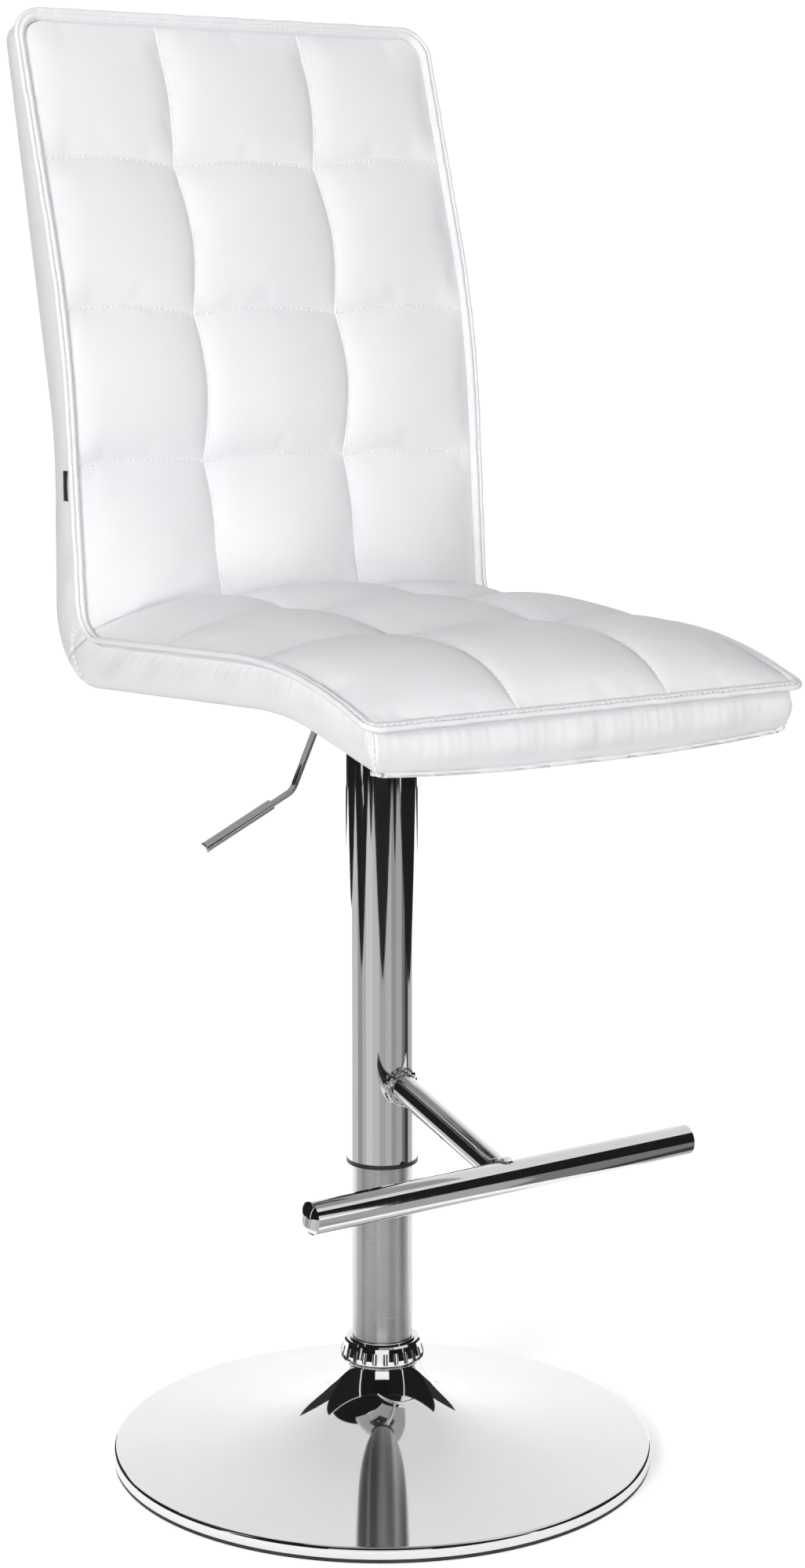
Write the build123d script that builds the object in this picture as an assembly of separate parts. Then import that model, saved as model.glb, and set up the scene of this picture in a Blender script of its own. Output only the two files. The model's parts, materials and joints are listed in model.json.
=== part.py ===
from build123d import *
import math
import os

# Adjustable swivel stool: trumpet base, gas-lift column, T footrest and a quilted one-piece seat.
# Millimetres. +Z is up, the floor is Z = 0 and the column's axis is the Z axis.
# The sitter faces -Y, so +X is on the sitter's left and the height lever is at -X.

# ---------------------------------------------------------------- base
BASE_RADIUS = 224.8
BASE_SHEET = 1.5
RIM_BOTTOM = 3.3
RIM_TOP = 12.5
RIM_ROUND = 3.0
NECK_RADIUS = 31.2
NECK_TOP = 81.0
NECK_PULL = (9.0, 38.0)
RIM_PULL = (50.0, 13.0)
BALLAST_RADIUS = 210.0
BALLAST_THICKNESS = 5.0
BALLAST_BORE = 12.0
GASKET_WIDTH = 13.0
GASKET_LIP = 3.2
GASKET_MARGIN = 0.5
GASKET_REBATE = 2.5
COLLAR_HEIGHT = 21.6
COLLAR_RADIUS = 34.6
COLLAR_LIP = 2.2
# The collar's outer profile, as (distance inside COLLAR_RADIUS, height above its underside).
COLLAR_PROFILE = [(3.4, 0.0), (1.4, 2.0), (0.0, 5.0), (0.0, 9.0), (3.0, 18.6), (4.5, 20.1)]
COLLAR_SCALLOPS = 24
SCALLOP_RADIUS = 2.6
SCALLOP_LENGTH = 9.5
SCALLOP_OUTSET = 0.8
SCALLOP_HEIGHT = 11.0
SCALLOP_LEAN = 14.0

# ---------------------------------------------------------------- column and gas lift
TUBE_RADIUS = 25.0
TUBE_WALL = 2.0
TUBE_TOP = 425.0
BUSH_LENGTH = 60.0
BUSH_FLANGE = 2.0
FOOT_HEIGHT = 10.0
RACE_RADIUS = 11.0
RACE_THICKNESS = 2.0
BALL_RADIUS = 1.5
BALL_COUNT = 10
RACE_PLAY = 0.3
ROD_RADIUS = 5.0
ROD_BOTTOM = 5.2
SHOULDER_WIDTH = 2.0
SHOULDER_HEIGHT = 3.0
CLIP_WIDTH = 3.0
CLIP_THICKNESS = 1.5
CLIP_GAP = 0.2
CLIP_SLOT = 6.0
PISTON_BOTTOM = 312.0
PISTON_LENGTH = 16.0
SEAL_DEPTH = 2.5
SEAL_HALF_HEIGHT = 1.5
SEAL_PLAY = 0.1
CYLINDER_RADIUS = 14.0
CYLINDER_WALL = 2.0
CYLINDER_BOTTOM = 230.0
CYLINDER_TOP = 622.0
PLUG_LENGTH = 16.0
RUNNING = 0.05
SEATED = 0.02
OVERRUN = 1.0

# ---------------------------------------------------------------- sleeve and footrest
SLEEVE_RADIUS = 29.3
SLEEVE_WALL = 1.5
SLEEVE_BOTTOM = 256.5
SLEEVE_TOP = 620.0
SLEEVE_VENT = 2.4
SLEEVE_CAP = 3.0
RING_LIP = 3.5
RING_PROUD = 0.3
RING_PLAY = 0.06
RING_LENGTH = 22.0
ARM_RADIUS = 11.0
ARM_WALL = 1.5
ARM_SLEEVE_Z = 322.5
BAR_RADIUS = 12.7
BAR_WALL = 1.5
BAR_FORWARD = 171.0
BAR_Z = 281.5
BAR_HALF_LENGTH = 181.0
CAP_DOME = 5.5
CAP_PLUG = 12.0
ARM_WELD_REACH = 4.0
BAR_WELD_REACH = 3.0
BAR_WELD_HALF_LENGTH = 30.0

# ---------------------------------------------------------------- seat mechanism
PLATE_SIZE_X = 170.0
PLATE_SIZE_Y = 150.0
PLATE_THICKNESS = 3.0
PLATE_CORNER = 12.0
BOLT_SPACING_X = 120.0
BOLT_SPACING_Y = 110.0
BOLT_RADIUS = 3.0
BOLT_HEAD_RADIUS = 6.0
BOLT_HEAD_HEIGHT = 4.0
BOLT_HOLE = 3.4
BARREL_RADIUS = 4.0
BARREL_LENGTH = 8.5
T_FLANGE_RADIUS = 9.0
T_FLANGE = 1.5
HUB_RADIUS = 18.0
HUB_BOTTOM = 580.0
HUB_OVERRUN = 5.0
LEVER_SLOT_WIDTH = 8.4
LEVER_SLOT_HEIGHT = 16.0
LEVER_SLOT_LIFT = 2.0
EAR_THICKNESS = 2.5
EAR_LENGTH = 14.0
EAR_BOTTOM = 625.0
BOSS_RADIUS = 5.0
BOSS_HALF = 6.0
BOSS_PLAY = 0.2
PIN_RADIUS = 2.5
PIN_HEAD = 1.5
PIVOT_X = -26.0
LEVER_Z = 632.0
LEVER_RADIUS = 3.0
LEVER_POINTS = [(3.0, LEVER_Z), (-57.0, LEVER_Z), (-85.5, 571.0), (-164.5, 534.6)]
LEVER_BENDS = [12.0, 14.0]
GRIP_RADIUS = 4.75
GRIP_LENGTH = 68.0
GRIP_END = 3.5
GRIP_ROUND = 1.2
BUTTON_RADIUS = 3.0
BUTTON_GAP = 0.4
BUTTON_ROUND = 2.4
BUTTON_BOTTOM = 600.0

# ---------------------------------------------------------------- upholstered seat
# Side outlines as (Y, Z) corners with bend radii, from the top of the back to the front of the seat.
FRONT_CORNERS = [(227.0, 1187.0), (150.4, 932.6), (132.4, 689.4), (-180.8, 703.0), (-284.0, 665.4)]
FRONT_BENDS = [700.0, 24.0, 420.0]
REAR_CORNERS = [(267.5, 1175.0), (193.5, 838.0), (197.5, 642.0), (-149.6, 659.0), (-273.6, 629.0)]
REAR_BENDS = [300.0, 60.0, 300.0]
WELT_HALF_WIDTH = 203.4
WELT_THICKNESS = 4.0
WELT_TOP_CORNER = 28.0
WELT_FRONT_CORNER = 12.0
PANEL_HALF_WIDTH = 186.0
PANEL_INSET = 17.0
BACK_PANEL_FACE = 2.0
SEAT_PANEL_FACE = -13.0
PANEL_UNDERSIDE = 14.0
BODY_HALF_WIDTH = 191.0
BODY_TOP_INSET = 9.0
BODY_FRONT_INSET = 10.4
SKIN = 2.5
BOARD_THICKNESS = 11.0
BOARD_HALF_WIDTH = 180.0
BOARD_TRIM = 12.0
END_OVERRUN = 20.0
T_NUT_PLAY = 0.3
TAG_HEIGHT = 24.0
TAG_WIDTH = 8.0
TAG_THICKNESS = 1.2
TAG_Y = 144.0
TAG_Z = 808.0

# ---------------------------------------------------------------- worked out from the above
UNDERSIDE_REAR = Vector(*REAR_CORNERS[2])
UNDERSIDE_FRONT = Vector(*REAR_CORNERS[3])
SEAT_FALL = UNDERSIDE_REAR - UNDERSIDE_FRONT
SEAT_TILT = math.degrees(math.atan2(-SEAT_FALL.Y, SEAT_FALL.X))
SEAT_UNDERSIDE = UNDERSIDE_REAR.Y - UNDERSIDE_REAR.X * SEAT_FALL.Y / SEAT_FALL.X
SEAT_BASE = Pos(0, 0, SEAT_UNDERSIDE) * Rot(-SEAT_TILT, 0, 0)
PLATE_UNDERSIDE = SEAT_BASE * Pos(0, 0, -PLATE_THICKNESS)
BOLT_PLACES = [
    SEAT_BASE * Pos(x * BOLT_SPACING_X / 2, y * BOLT_SPACING_Y / 2, 0)
    for x in (-1, 1)
    for y in (-1, 1)
]
BALLAST_TOP = RIM_BOTTOM + BALLAST_THICKNESS
TUBE_BORE = TUBE_RADIUS - TUBE_WALL
PISTON_RADIUS = CYLINDER_RADIUS - CYLINDER_WALL - RUNNING
FOOT_TOP = BALLAST_TOP + FOOT_HEIGHT
BALL_Z = FOOT_TOP + RACE_THICKNESS + BALL_RADIUS
UPPER_RACE_Z = BALL_Z + BALL_RADIUS + RUNNING
INNER_HALF_WIDTH = BODY_HALF_WIDTH - SKIN
BOARD_DEPTH = SKIN + BOARD_THICKNESS
ARM_SLOPE = (ARM_SLEEVE_Z - BAR_Z) / (BAR_FORWARD - SLEEVE_RADIUS)
ARM_START = (0, 0, ARM_SLEEVE_Z + SLEEVE_RADIUS * ARM_SLOPE)
ARM_END = (0, -BAR_FORWARD, BAR_Z)


# ---------------------------------------------------------------- helpers
def ring(outer, inner, bottom, top):
    """An upright tube or washer on the Z axis."""
    profile = Pos((outer + inner) / 2, (bottom + top) / 2) * Rectangle(outer - inner, top - bottom)
    return revolve(Plane.XZ * profile, Axis.Z)


def rod(radius, bottom, top):
    """An upright round bar on the Z axis."""
    return Pos(0, 0, (bottom + top) / 2) * Cylinder(radius, top - bottom)


def turned(points):
    """A solid turned about the Z axis from (radius, height) corners."""
    return revolve(Plane.XZ * make_face(Polyline(*points, close=True)), Axis.Z)


def between(start, end, radius, overrun=0.0):
    """A round bar between two points."""
    axis = Vector(*end) - Vector(*start)
    place = Plane(origin=Vector(*start) - axis.normalized() * overrun, z_dir=axis)
    return extrude(place * Circle(radius), axis.length + 2 * overrun)


def below(solid, place):
    """The part of a solid under a tilted plane."""
    return split(solid, Plane(place), keep=Keep.BOTTOM)


def shifted(corners, bends, distance, trims=(0.0, 0.0)):
    """A bent outline moved to the left of its travel, with its two ends cut back."""
    points = [Vector(*c) for c in corners]
    along = [(b - a).normalized() for a, b in zip(points, points[1:])]
    left = [Vector(-d.Y, d.X) for d in along]
    moved = [points[0] + left[0] * distance + along[0] * trims[0]]
    radii = []
    for i, radius in enumerate(bends):
        shift = (left[i] + left[i + 1]) * (distance / (1 + left[i].dot(left[i + 1])))
        moved.append(points[i + 1] + shift)
        turn = along[i].cross(along[i + 1]).Z
        radii.append(radius - math.copysign(distance, turn))
    moved.append(points[-1] + left[-1] * distance - along[-1] * trims[1])
    return FilletPolyline(*moved, radius=radii)


def front_line(depth, top=0.0, front=0.0):
    """The sitter's side of the seat, depth below the face of the welt."""
    return shifted(FRONT_CORNERS, FRONT_BENDS, depth, (top, front))


def rear_line(depth, top=0.0, front=0.0):
    """The back and underside of the seat, depth inside the cover."""
    return shifted(REAR_CORNERS, REAR_BENDS, -depth, (top, front))


def slab(first, second, half_width):
    """The space between two side outlines, over a width centred on the column."""
    edges = [first, Line(first @ 1, second @ 1), second, Line(second @ 0, first @ 0)]
    return extrude(Plane.YZ * make_face(Curve() + edges), half_width, both=True)


def parted(solid, back):
    """The backrest's or the seat's part of a solid, cut where the two meet."""
    corner = Vector(*FRONT_CORNERS[2])
    across = Vector(*REAR_CORNERS[2]) - corner
    normal = Vector(0, -across.Y, across.X)
    seam = Plane(origin=(0, corner.X, corner.Y), z_dir=normal)
    return split(solid, seam, keep=Keep.TOP if back else Keep.BOTTOM)


def capped(solid, inset):
    """A solid cut off at the top of the back and the front of the seat, inset inside the end strips."""
    faces = [
        (front_line(WELT_THICKNESS, top=BODY_TOP_INSET) @ 0, Vector(*REAR_CORNERS[0])),
        (Vector(*REAR_CORNERS[-1]), front_line(WELT_THICKNESS, front=BODY_FRONT_INSET) @ 1),
    ]
    for start, end in faces:
        outward = Vector(0, start.Y - end.Y, end.X - start.X).normalized()
        place = Plane(origin=Vector(0, start.X, start.Y) - outward * inset, z_dir=outward)
        solid = split(solid, place, keep=Keep.BOTTOM)
    return solid


def sides(solid, left):
    """The half of a solid on the sitter's left, +X, or right."""
    return split(solid, Plane.YZ, keep=Keep.TOP if left else Keep.BOTTOM)


# ---------------------------------------------------------------- base
def trumpet(neck_radius, neck_top, rim_radius, rim_top):
    """The flared line of the base, from its neck to its rim."""
    return Bezier(
        (neck_radius, neck_top),
        (neck_radius + NECK_PULL[0], neck_top - NECK_PULL[1]),
        (neck_radius + RIM_PULL[0], rim_top + RIM_PULL[1]),
        (rim_radius - RIM_ROUND, rim_top),
    )


def base_shell():
    outer = trumpet(NECK_RADIUS, NECK_TOP, BASE_RADIUS, RIM_TOP)
    inner = trumpet(NECK_RADIUS - BASE_SHEET, NECK_TOP, BASE_RADIUS - BASE_SHEET, RIM_TOP - BASE_SHEET)
    shoulder = (BASE_RADIUS, RIM_TOP - RIM_ROUND)
    inner_shoulder = (BASE_RADIUS - BASE_SHEET, RIM_TOP - RIM_ROUND - BASE_SHEET)
    edges = [
        outer,
        TangentArc(outer @ 1, shoulder, tangent=outer % 1),
        Line(shoulder, (BASE_RADIUS, RIM_BOTTOM)),
        Line((BASE_RADIUS, RIM_BOTTOM), (BASE_RADIUS - BASE_SHEET, RIM_BOTTOM)),
        Line((BASE_RADIUS - BASE_SHEET, RIM_BOTTOM), inner_shoulder),
        TangentArc(inner @ 1, inner_shoulder, tangent=inner % 1),
        inner,
        Line(inner @ 0, outer @ 0),
    ]
    return revolve(Plane.XZ * make_face(Curve() + edges), Axis.Z)


def base_plate():
    return ring(BALLAST_RADIUS, BALLAST_BORE, RIM_BOTTOM, BALLAST_TOP)


def base_gasket():
    outside = BASE_RADIUS - GASKET_MARGIN
    inside = outside - GASKET_WIDTH
    step = BASE_RADIUS - 2 * BASE_SHEET - GASKET_REBATE
    return turned([
        (inside, 0),
        (outside, 0),
        (outside, RIM_BOTTOM),
        (step, RIM_BOTTOM),
        (step, RIM_BOTTOM + GASKET_LIP),
        (inside, RIM_BOTTOM + GASKET_LIP),
    ])


def base_collar():
    """The scalloped ring nut that closes the base's neck round the column."""
    bore = TUBE_RADIUS + SEATED
    top = NECK_TOP + COLLAR_HEIGHT
    outer = [(COLLAR_RADIUS - inset, NECK_TOP + height) for inset, height in COLLAR_PROFILE]
    lip = [(bore + COLLAR_LIP, outer[-1][1]), (bore + COLLAR_LIP, top)]
    body = turned([(bore, NECK_TOP), *outer, *lip, (bore, top)])
    place = Pos(COLLAR_RADIUS + SCALLOP_OUTSET, 0, NECK_TOP + SCALLOP_HEIGHT)
    scallop = place * Rot(0, -SCALLOP_LEAN, 0) * Cylinder(SCALLOP_RADIUS, SCALLOP_LENGTH)
    return body - [Rot(0, 0, 360 / COLLAR_SCALLOPS * i) * scallop for i in range(COLLAR_SCALLOPS)]


# ---------------------------------------------------------------- column and gas lift
def column_tube():
    return ring(TUBE_RADIUS, TUBE_BORE, BALLAST_TOP, TUBE_TOP)


def guide_bush():
    bore = CYLINDER_RADIUS + RUNNING
    body = ring(TUBE_BORE - SEATED, bore, TUBE_TOP - BUSH_LENGTH, TUBE_TOP)
    return body + ring(TUBE_RADIUS, bore, TUBE_TOP, TUBE_TOP + BUSH_FLANGE)


def tube_foot():
    return ring(TUBE_BORE - SEATED, ROD_RADIUS + RUNNING, BALLAST_TOP, FOOT_TOP)


def lower_race():
    return ring(RACE_RADIUS, ROD_RADIUS + RACE_PLAY, FOOT_TOP, FOOT_TOP + RACE_THICKNESS)


def bearing_balls():
    ball = Pos((RACE_RADIUS + ROD_RADIUS) / 2, 0, BALL_Z) * Sphere(BALL_RADIUS)
    return [Rot(0, 0, 360 / BALL_COUNT * i) * ball for i in range(BALL_COUNT)]


def upper_race():
    return ring(RACE_RADIUS, ROD_RADIUS + SEATED, UPPER_RACE_Z, UPPER_RACE_Z + RACE_THICKNESS)


def piston_rod():
    start = UPPER_RACE_Z + RACE_THICKNESS
    shoulder = rod(ROD_RADIUS + SHOULDER_WIDTH, start, start + SHOULDER_HEIGHT)
    return rod(ROD_RADIUS, ROD_BOTTOM, PISTON_BOTTOM) + shoulder


def rod_clip():
    top = BALLAST_TOP - CLIP_GAP
    outer = ROD_RADIUS + CLIP_WIDTH
    washer = ring(outer, ROD_RADIUS + SEATED, top - CLIP_THICKNESS, top)
    return washer - Pos(outer, 0, top) * Box(2 * ROD_RADIUS, CLIP_SLOT, 2 * CLIP_THICKNESS + OVERRUN)


def seal_band(inner, half_height):
    """A ring round the middle of the gas piston."""
    middle = PISTON_BOTTOM + PISTON_LENGTH / 2
    return ring(PISTON_RADIUS, inner, middle - half_height, middle + half_height)


def gas_piston():
    body = rod(PISTON_RADIUS, PISTON_BOTTOM, PISTON_BOTTOM + PISTON_LENGTH)
    return body - seal_band(PISTON_RADIUS - SEAL_DEPTH, SEAL_HALF_HEIGHT + SEAL_PLAY)


def piston_seal():
    return seal_band(PISTON_RADIUS - SEAL_DEPTH, SEAL_HALF_HEIGHT)


def gas_cylinder():
    return ring(CYLINDER_RADIUS, CYLINDER_RADIUS - CYLINDER_WALL, CYLINDER_BOTTOM, CYLINDER_TOP)


def cylinder_gland():
    outer = CYLINDER_RADIUS - CYLINDER_WALL - SEATED
    return ring(outer, ROD_RADIUS + RUNNING, CYLINDER_BOTTOM, CYLINDER_BOTTOM + PLUG_LENGTH)


def cylinder_cap():
    outer = CYLINDER_RADIUS - CYLINDER_WALL - SEATED
    return ring(outer, BUTTON_RADIUS + RUNNING, CYLINDER_TOP - PLUG_LENGTH, CYLINDER_TOP)


def valve_button():
    top = LEVER_Z - LEVER_RADIUS - BUTTON_GAP
    pin = rod(BUTTON_RADIUS, BUTTON_BOTTOM, top)
    return fillet(pin.edges().sort_by(Axis.Z)[-1], BUTTON_ROUND)


# ---------------------------------------------------------------- sleeve and footrest
def outer_sleeve():
    tube = ring(SLEEVE_RADIUS, SLEEVE_RADIUS - SLEEVE_WALL, SLEEVE_BOTTOM, SLEEVE_TOP)
    vent = between((0, 0, SLEEVE_BOTTOM), (0, -SLEEVE_RADIUS - OVERRUN, SLEEVE_BOTTOM), SLEEVE_VENT)
    return tube - vent


def sleeve_ring():
    bore = TUBE_RADIUS + RING_PLAY
    lip = ring(SLEEVE_RADIUS + RING_PROUD, bore, SLEEVE_BOTTOM - RING_LIP, SLEEVE_BOTTOM)
    liner = ring(SLEEVE_RADIUS - SLEEVE_WALL - SEATED, bore, SLEEVE_BOTTOM, SLEEVE_BOTTOM + RING_LENGTH)
    return lip + liner


def sleeve_cap():
    outer = SLEEVE_RADIUS - SLEEVE_WALL - SEATED
    return ring(outer, HUB_RADIUS + SEATED, SLEEVE_TOP - SLEEVE_CAP, SLEEVE_TOP)


def bar_core(radius, half_length=BAR_HALF_LENGTH):
    return between((-half_length, -BAR_FORWARD, BAR_Z), (half_length, -BAR_FORWARD, BAR_Z), radius)


def footrest_arm():
    bore = between(ARM_START, ARM_END, ARM_RADIUS - ARM_WALL, OVERRUN)
    tube = between(ARM_START, ARM_END, ARM_RADIUS) - bore
    return tube - rod(SLEEVE_RADIUS, SLEEVE_BOTTOM, SLEEVE_TOP) - bar_core(BAR_RADIUS)


def footrest_bar():
    return bar_core(BAR_RADIUS) - bar_core(BAR_RADIUS - BAR_WALL, BAR_HALF_LENGTH + OVERRUN)


def bar_cap(side):
    """A domed cap with a plug that sits inside the bar's end."""
    bore = BAR_RADIUS - BAR_WALL - SEATED
    round_radius = (BAR_RADIUS**2 + CAP_DOME**2) / (2 * CAP_DOME)
    ball = Pos(0, 0, CAP_DOME - round_radius) * Sphere(round_radius)
    cap = (ball & rod(BAR_RADIUS, 0, CAP_DOME)) + rod(bore, -CAP_PLUG, 0)
    return Pos(side * BAR_HALF_LENGTH, -BAR_FORWARD, BAR_Z) * Rot(0, side * 90, 0) * cap


def arm_weld():
    """The bead round the arm where it meets the sleeve."""
    around_sleeve = rod(SLEEVE_RADIUS + ARM_WELD_REACH, SLEEVE_BOTTOM, SLEEVE_TOP)
    bead = between(ARM_START, ARM_END, ARM_RADIUS + ARM_WELD_REACH) & around_sleeve
    return bead - rod(SLEEVE_RADIUS, SLEEVE_BOTTOM, SLEEVE_TOP) - between(ARM_START, ARM_END, ARM_RADIUS)


def bar_weld():
    """The bead round the arm where it meets the bar."""
    around_bar = bar_core(BAR_RADIUS + BAR_WELD_REACH, BAR_WELD_HALF_LENGTH)
    bead = between(ARM_START, ARM_END, ARM_RADIUS + BAR_WELD_REACH) & around_bar
    return bead - bar_core(BAR_RADIUS) - between(ARM_START, ARM_END, ARM_RADIUS)


# ---------------------------------------------------------------- seat mechanism
def seat_plate():
    blank = extrude(RectangleRounded(PLATE_SIZE_X, PLATE_SIZE_Y, PLATE_CORNER), PLATE_THICKNESS)
    plate = PLATE_UNDERSIDE * blank
    return plate - [place * Cylinder(BOLT_HOLE, 4 * PLATE_THICKNESS) for place in BOLT_PLACES]


def seat_hub():
    """The socket that the gas cylinder's top end sits in, slotted for the lever."""
    tube = ring(HUB_RADIUS, CYLINDER_RADIUS + SEATED, HUB_BOTTOM, SEAT_UNDERSIDE + HUB_OVERRUN)
    place = Pos(-HUB_RADIUS, 0, LEVER_Z + LEVER_SLOT_LIFT)
    slot = place * Box(HUB_RADIUS, LEVER_SLOT_WIDTH, LEVER_SLOT_HEIGHT)
    return below(tube - slot, PLATE_UNDERSIDE)


def across_pivot(start, end, radius):
    """A round bar along the lever's pivot, between two Y places."""
    return between((PIVOT_X, start, LEVER_Z), (PIVOT_X, end, LEVER_Z), radius)


def lever_bracket():
    """Two ears under the seat plate, joined by a web."""
    half_span = BOSS_HALF + BOSS_PLAY
    reach = half_span + EAR_THICKNESS
    top = SEAT_UNDERSIDE + HUB_OVERRUN
    middle = Pos(PIVOT_X, 0, (EAR_BOTTOM + top) / 2)
    web_bottom = SEAT_UNDERSIDE - PLATE_THICKNESS - 2 * EAR_THICKNESS
    channel = Pos(PIVOT_X, 0, web_bottom / 2) * Box(EAR_LENGTH + OVERRUN, 2 * half_span, web_bottom)
    holes = across_pivot(-reach - OVERRUN, reach + OVERRUN, PIN_RADIUS + SEATED)
    block = middle * Box(EAR_LENGTH, 2 * reach, top - EAR_BOTTOM)
    return below(block - channel - holes, PLATE_UNDERSIDE)


def lever_pin():
    reach = BOSS_HALF + BOSS_PLAY + EAR_THICKNESS
    shank = across_pivot(-reach - PIN_HEAD, reach, PIN_RADIUS)
    return shank + across_pivot(reach, reach + PIN_HEAD, PIN_RADIUS + PIN_HEAD)


def lever_rod():
    path = Plane.XZ * FilletPolyline(*LEVER_POINTS, radius=LEVER_BENDS)
    wire = sweep(Plane(origin=path @ 0, z_dir=path % 0) * Circle(LEVER_RADIUS), path=path)
    boss = across_pivot(-BOSS_HALF, BOSS_HALF, BOSS_RADIUS)
    bore = across_pivot(-BOSS_HALF - OVERRUN, BOSS_HALF + OVERRUN, PIN_RADIUS + RUNNING)
    return wire + boss - bore


def lever_grip():
    """A closed steel sleeve pushed over the lever's end."""
    bend = Vector(LEVER_POINTS[2][0], 0, LEVER_POINTS[2][1])
    end = Vector(LEVER_POINTS[3][0], 0, LEVER_POINTS[3][1])
    along = (end - bend).normalized()
    tip = end + along * GRIP_END
    sleeve = between(tuple(tip - along * GRIP_LENGTH), tuple(tip), GRIP_RADIUS)
    sleeve = fillet(sleeve.edges().sort_by(Axis.X)[0], GRIP_ROUND)
    return sleeve - between(tuple(bend), tuple(end), LEVER_RADIUS + SEATED)


def plate_bolts():
    head = Pos(0, 0, -PLATE_THICKNESS - BOLT_HEAD_HEIGHT) * extrude(
        RegularPolygon(BOLT_HEAD_RADIUS, 6), BOLT_HEAD_HEIGHT
    )
    bolt = rod(BOLT_RADIUS, -PLATE_THICKNESS, BOARD_DEPTH + OVERRUN) + head
    return [place * bolt for place in BOLT_PLACES]


def t_nuts():
    bore = BOLT_RADIUS + RUNNING
    barrel = ring(BARREL_RADIUS, bore, BOARD_DEPTH - BARREL_LENGTH, BOARD_DEPTH)
    nut = barrel + ring(T_FLANGE_RADIUS, bore, BOARD_DEPTH, BOARD_DEPTH + T_FLANGE)
    return [place * nut for place in BOLT_PLACES]


# ---------------------------------------------------------------- upholstered seat
def padding():
    """The space inside the covers, between the quilted panels and the board."""
    face = front_line(PANEL_UNDERSIDE, -END_OVERRUN, -END_OVERRUN)
    foam = slab(face, rear_line(BOARD_DEPTH, -END_OVERRUN, -END_OVERRUN), INNER_HALF_WIDTH)
    pocket = rod(T_FLANGE_RADIUS + T_NUT_PLAY, BOARD_DEPTH, BOARD_DEPTH + T_FLANGE + T_NUT_PLAY)
    return capped(foam, SKIN) - [place * pocket for place in BOLT_PLACES]


def seat_board():
    """The bent plywood shell that carries the upholstery."""
    outside = rear_line(SKIN, BOARD_TRIM, BOARD_TRIM)
    board = slab(outside, rear_line(BOARD_DEPTH, BOARD_TRIM, BOARD_TRIM), BOARD_HALF_WIDTH)
    hole = rod(BARREL_RADIUS + SEATED, -OVERRUN, BOARD_DEPTH + OVERRUN)
    return board - [place * hole for place in BOLT_PLACES]


def quilted_panel(face_depth):
    face = front_line(face_depth, PANEL_INSET, PANEL_INSET)
    return slab(face, front_line(PANEL_UNDERSIDE, PANEL_INSET, PANEL_INSET), PANEL_HALF_WIDTH)


def welt():
    """The flat double-folded border round the quilted panels."""
    blank = slab(front_line(0), front_line(WELT_THICKNESS), WELT_HALF_WIDTH)
    opening = slab(
        front_line(-OVERRUN, PANEL_INSET, PANEL_INSET),
        front_line(WELT_THICKNESS + OVERRUN, PANEL_INSET, PANEL_INSET),
        PANEL_HALF_WIDTH,
    )
    length = FRONT_CORNERS[0][0] - FRONT_CORNERS[-1][0]
    height = FRONT_CORNERS[0][1]
    front_view = Pos(0, height / 2) * RectangleRounded(2 * WELT_HALF_WIDTH, height, WELT_TOP_CORNER)
    top_view = Pos(0, FRONT_CORNERS[-1][0] + length) * RectangleRounded(
        2 * WELT_HALF_WIDTH, 2 * length, WELT_FRONT_CORNER
    )
    trimmed = (blank - opening) & extrude(Plane.XZ * front_view, length, both=True)
    return trimmed & extrude(top_view, 2 * height)


def upholstered_body(half_width):
    """Everything under the welt, as one block that runs past both ends."""
    face = front_line(WELT_THICKNESS, -END_OVERRUN, -END_OVERRUN)
    return slab(face, rear_line(0, -END_OVERRUN, -END_OVERRUN), half_width)


def side_bands():
    return capped(upholstered_body(BODY_HALF_WIDTH), 0) - upholstered_body(INNER_HALF_WIDTH)


def end_bands():
    """The strips that close the top of the back and the front of the seat."""
    body = upholstered_body(INNER_HALF_WIDTH)
    return capped(body, 0) - capped(body, SKIN)


def rear_skin():
    """The cover on the back and underside, outside the board."""
    outside = rear_line(0, -END_OVERRUN, -END_OVERRUN)
    skin = slab(outside, rear_line(SKIN, -END_OVERRUN, -END_OVERRUN), INNER_HALF_WIDTH)
    hole = rod(BOLT_HOLE, -SKIN - OVERRUN, SKIN + OVERRUN)
    return capped(skin, SKIN) - [place * hole for place in BOLT_PLACES]


def label_tag():
    """A blank folded tag sewn into the welt's edge."""
    tag = Box(TAG_THICKNESS, TAG_WIDTH, TAG_HEIGHT)
    return Pos(-WELT_HALF_WIDTH - TAG_THICKNESS / 2, TAG_Y + TAG_WIDTH / 2, TAG_Z) * tag


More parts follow.
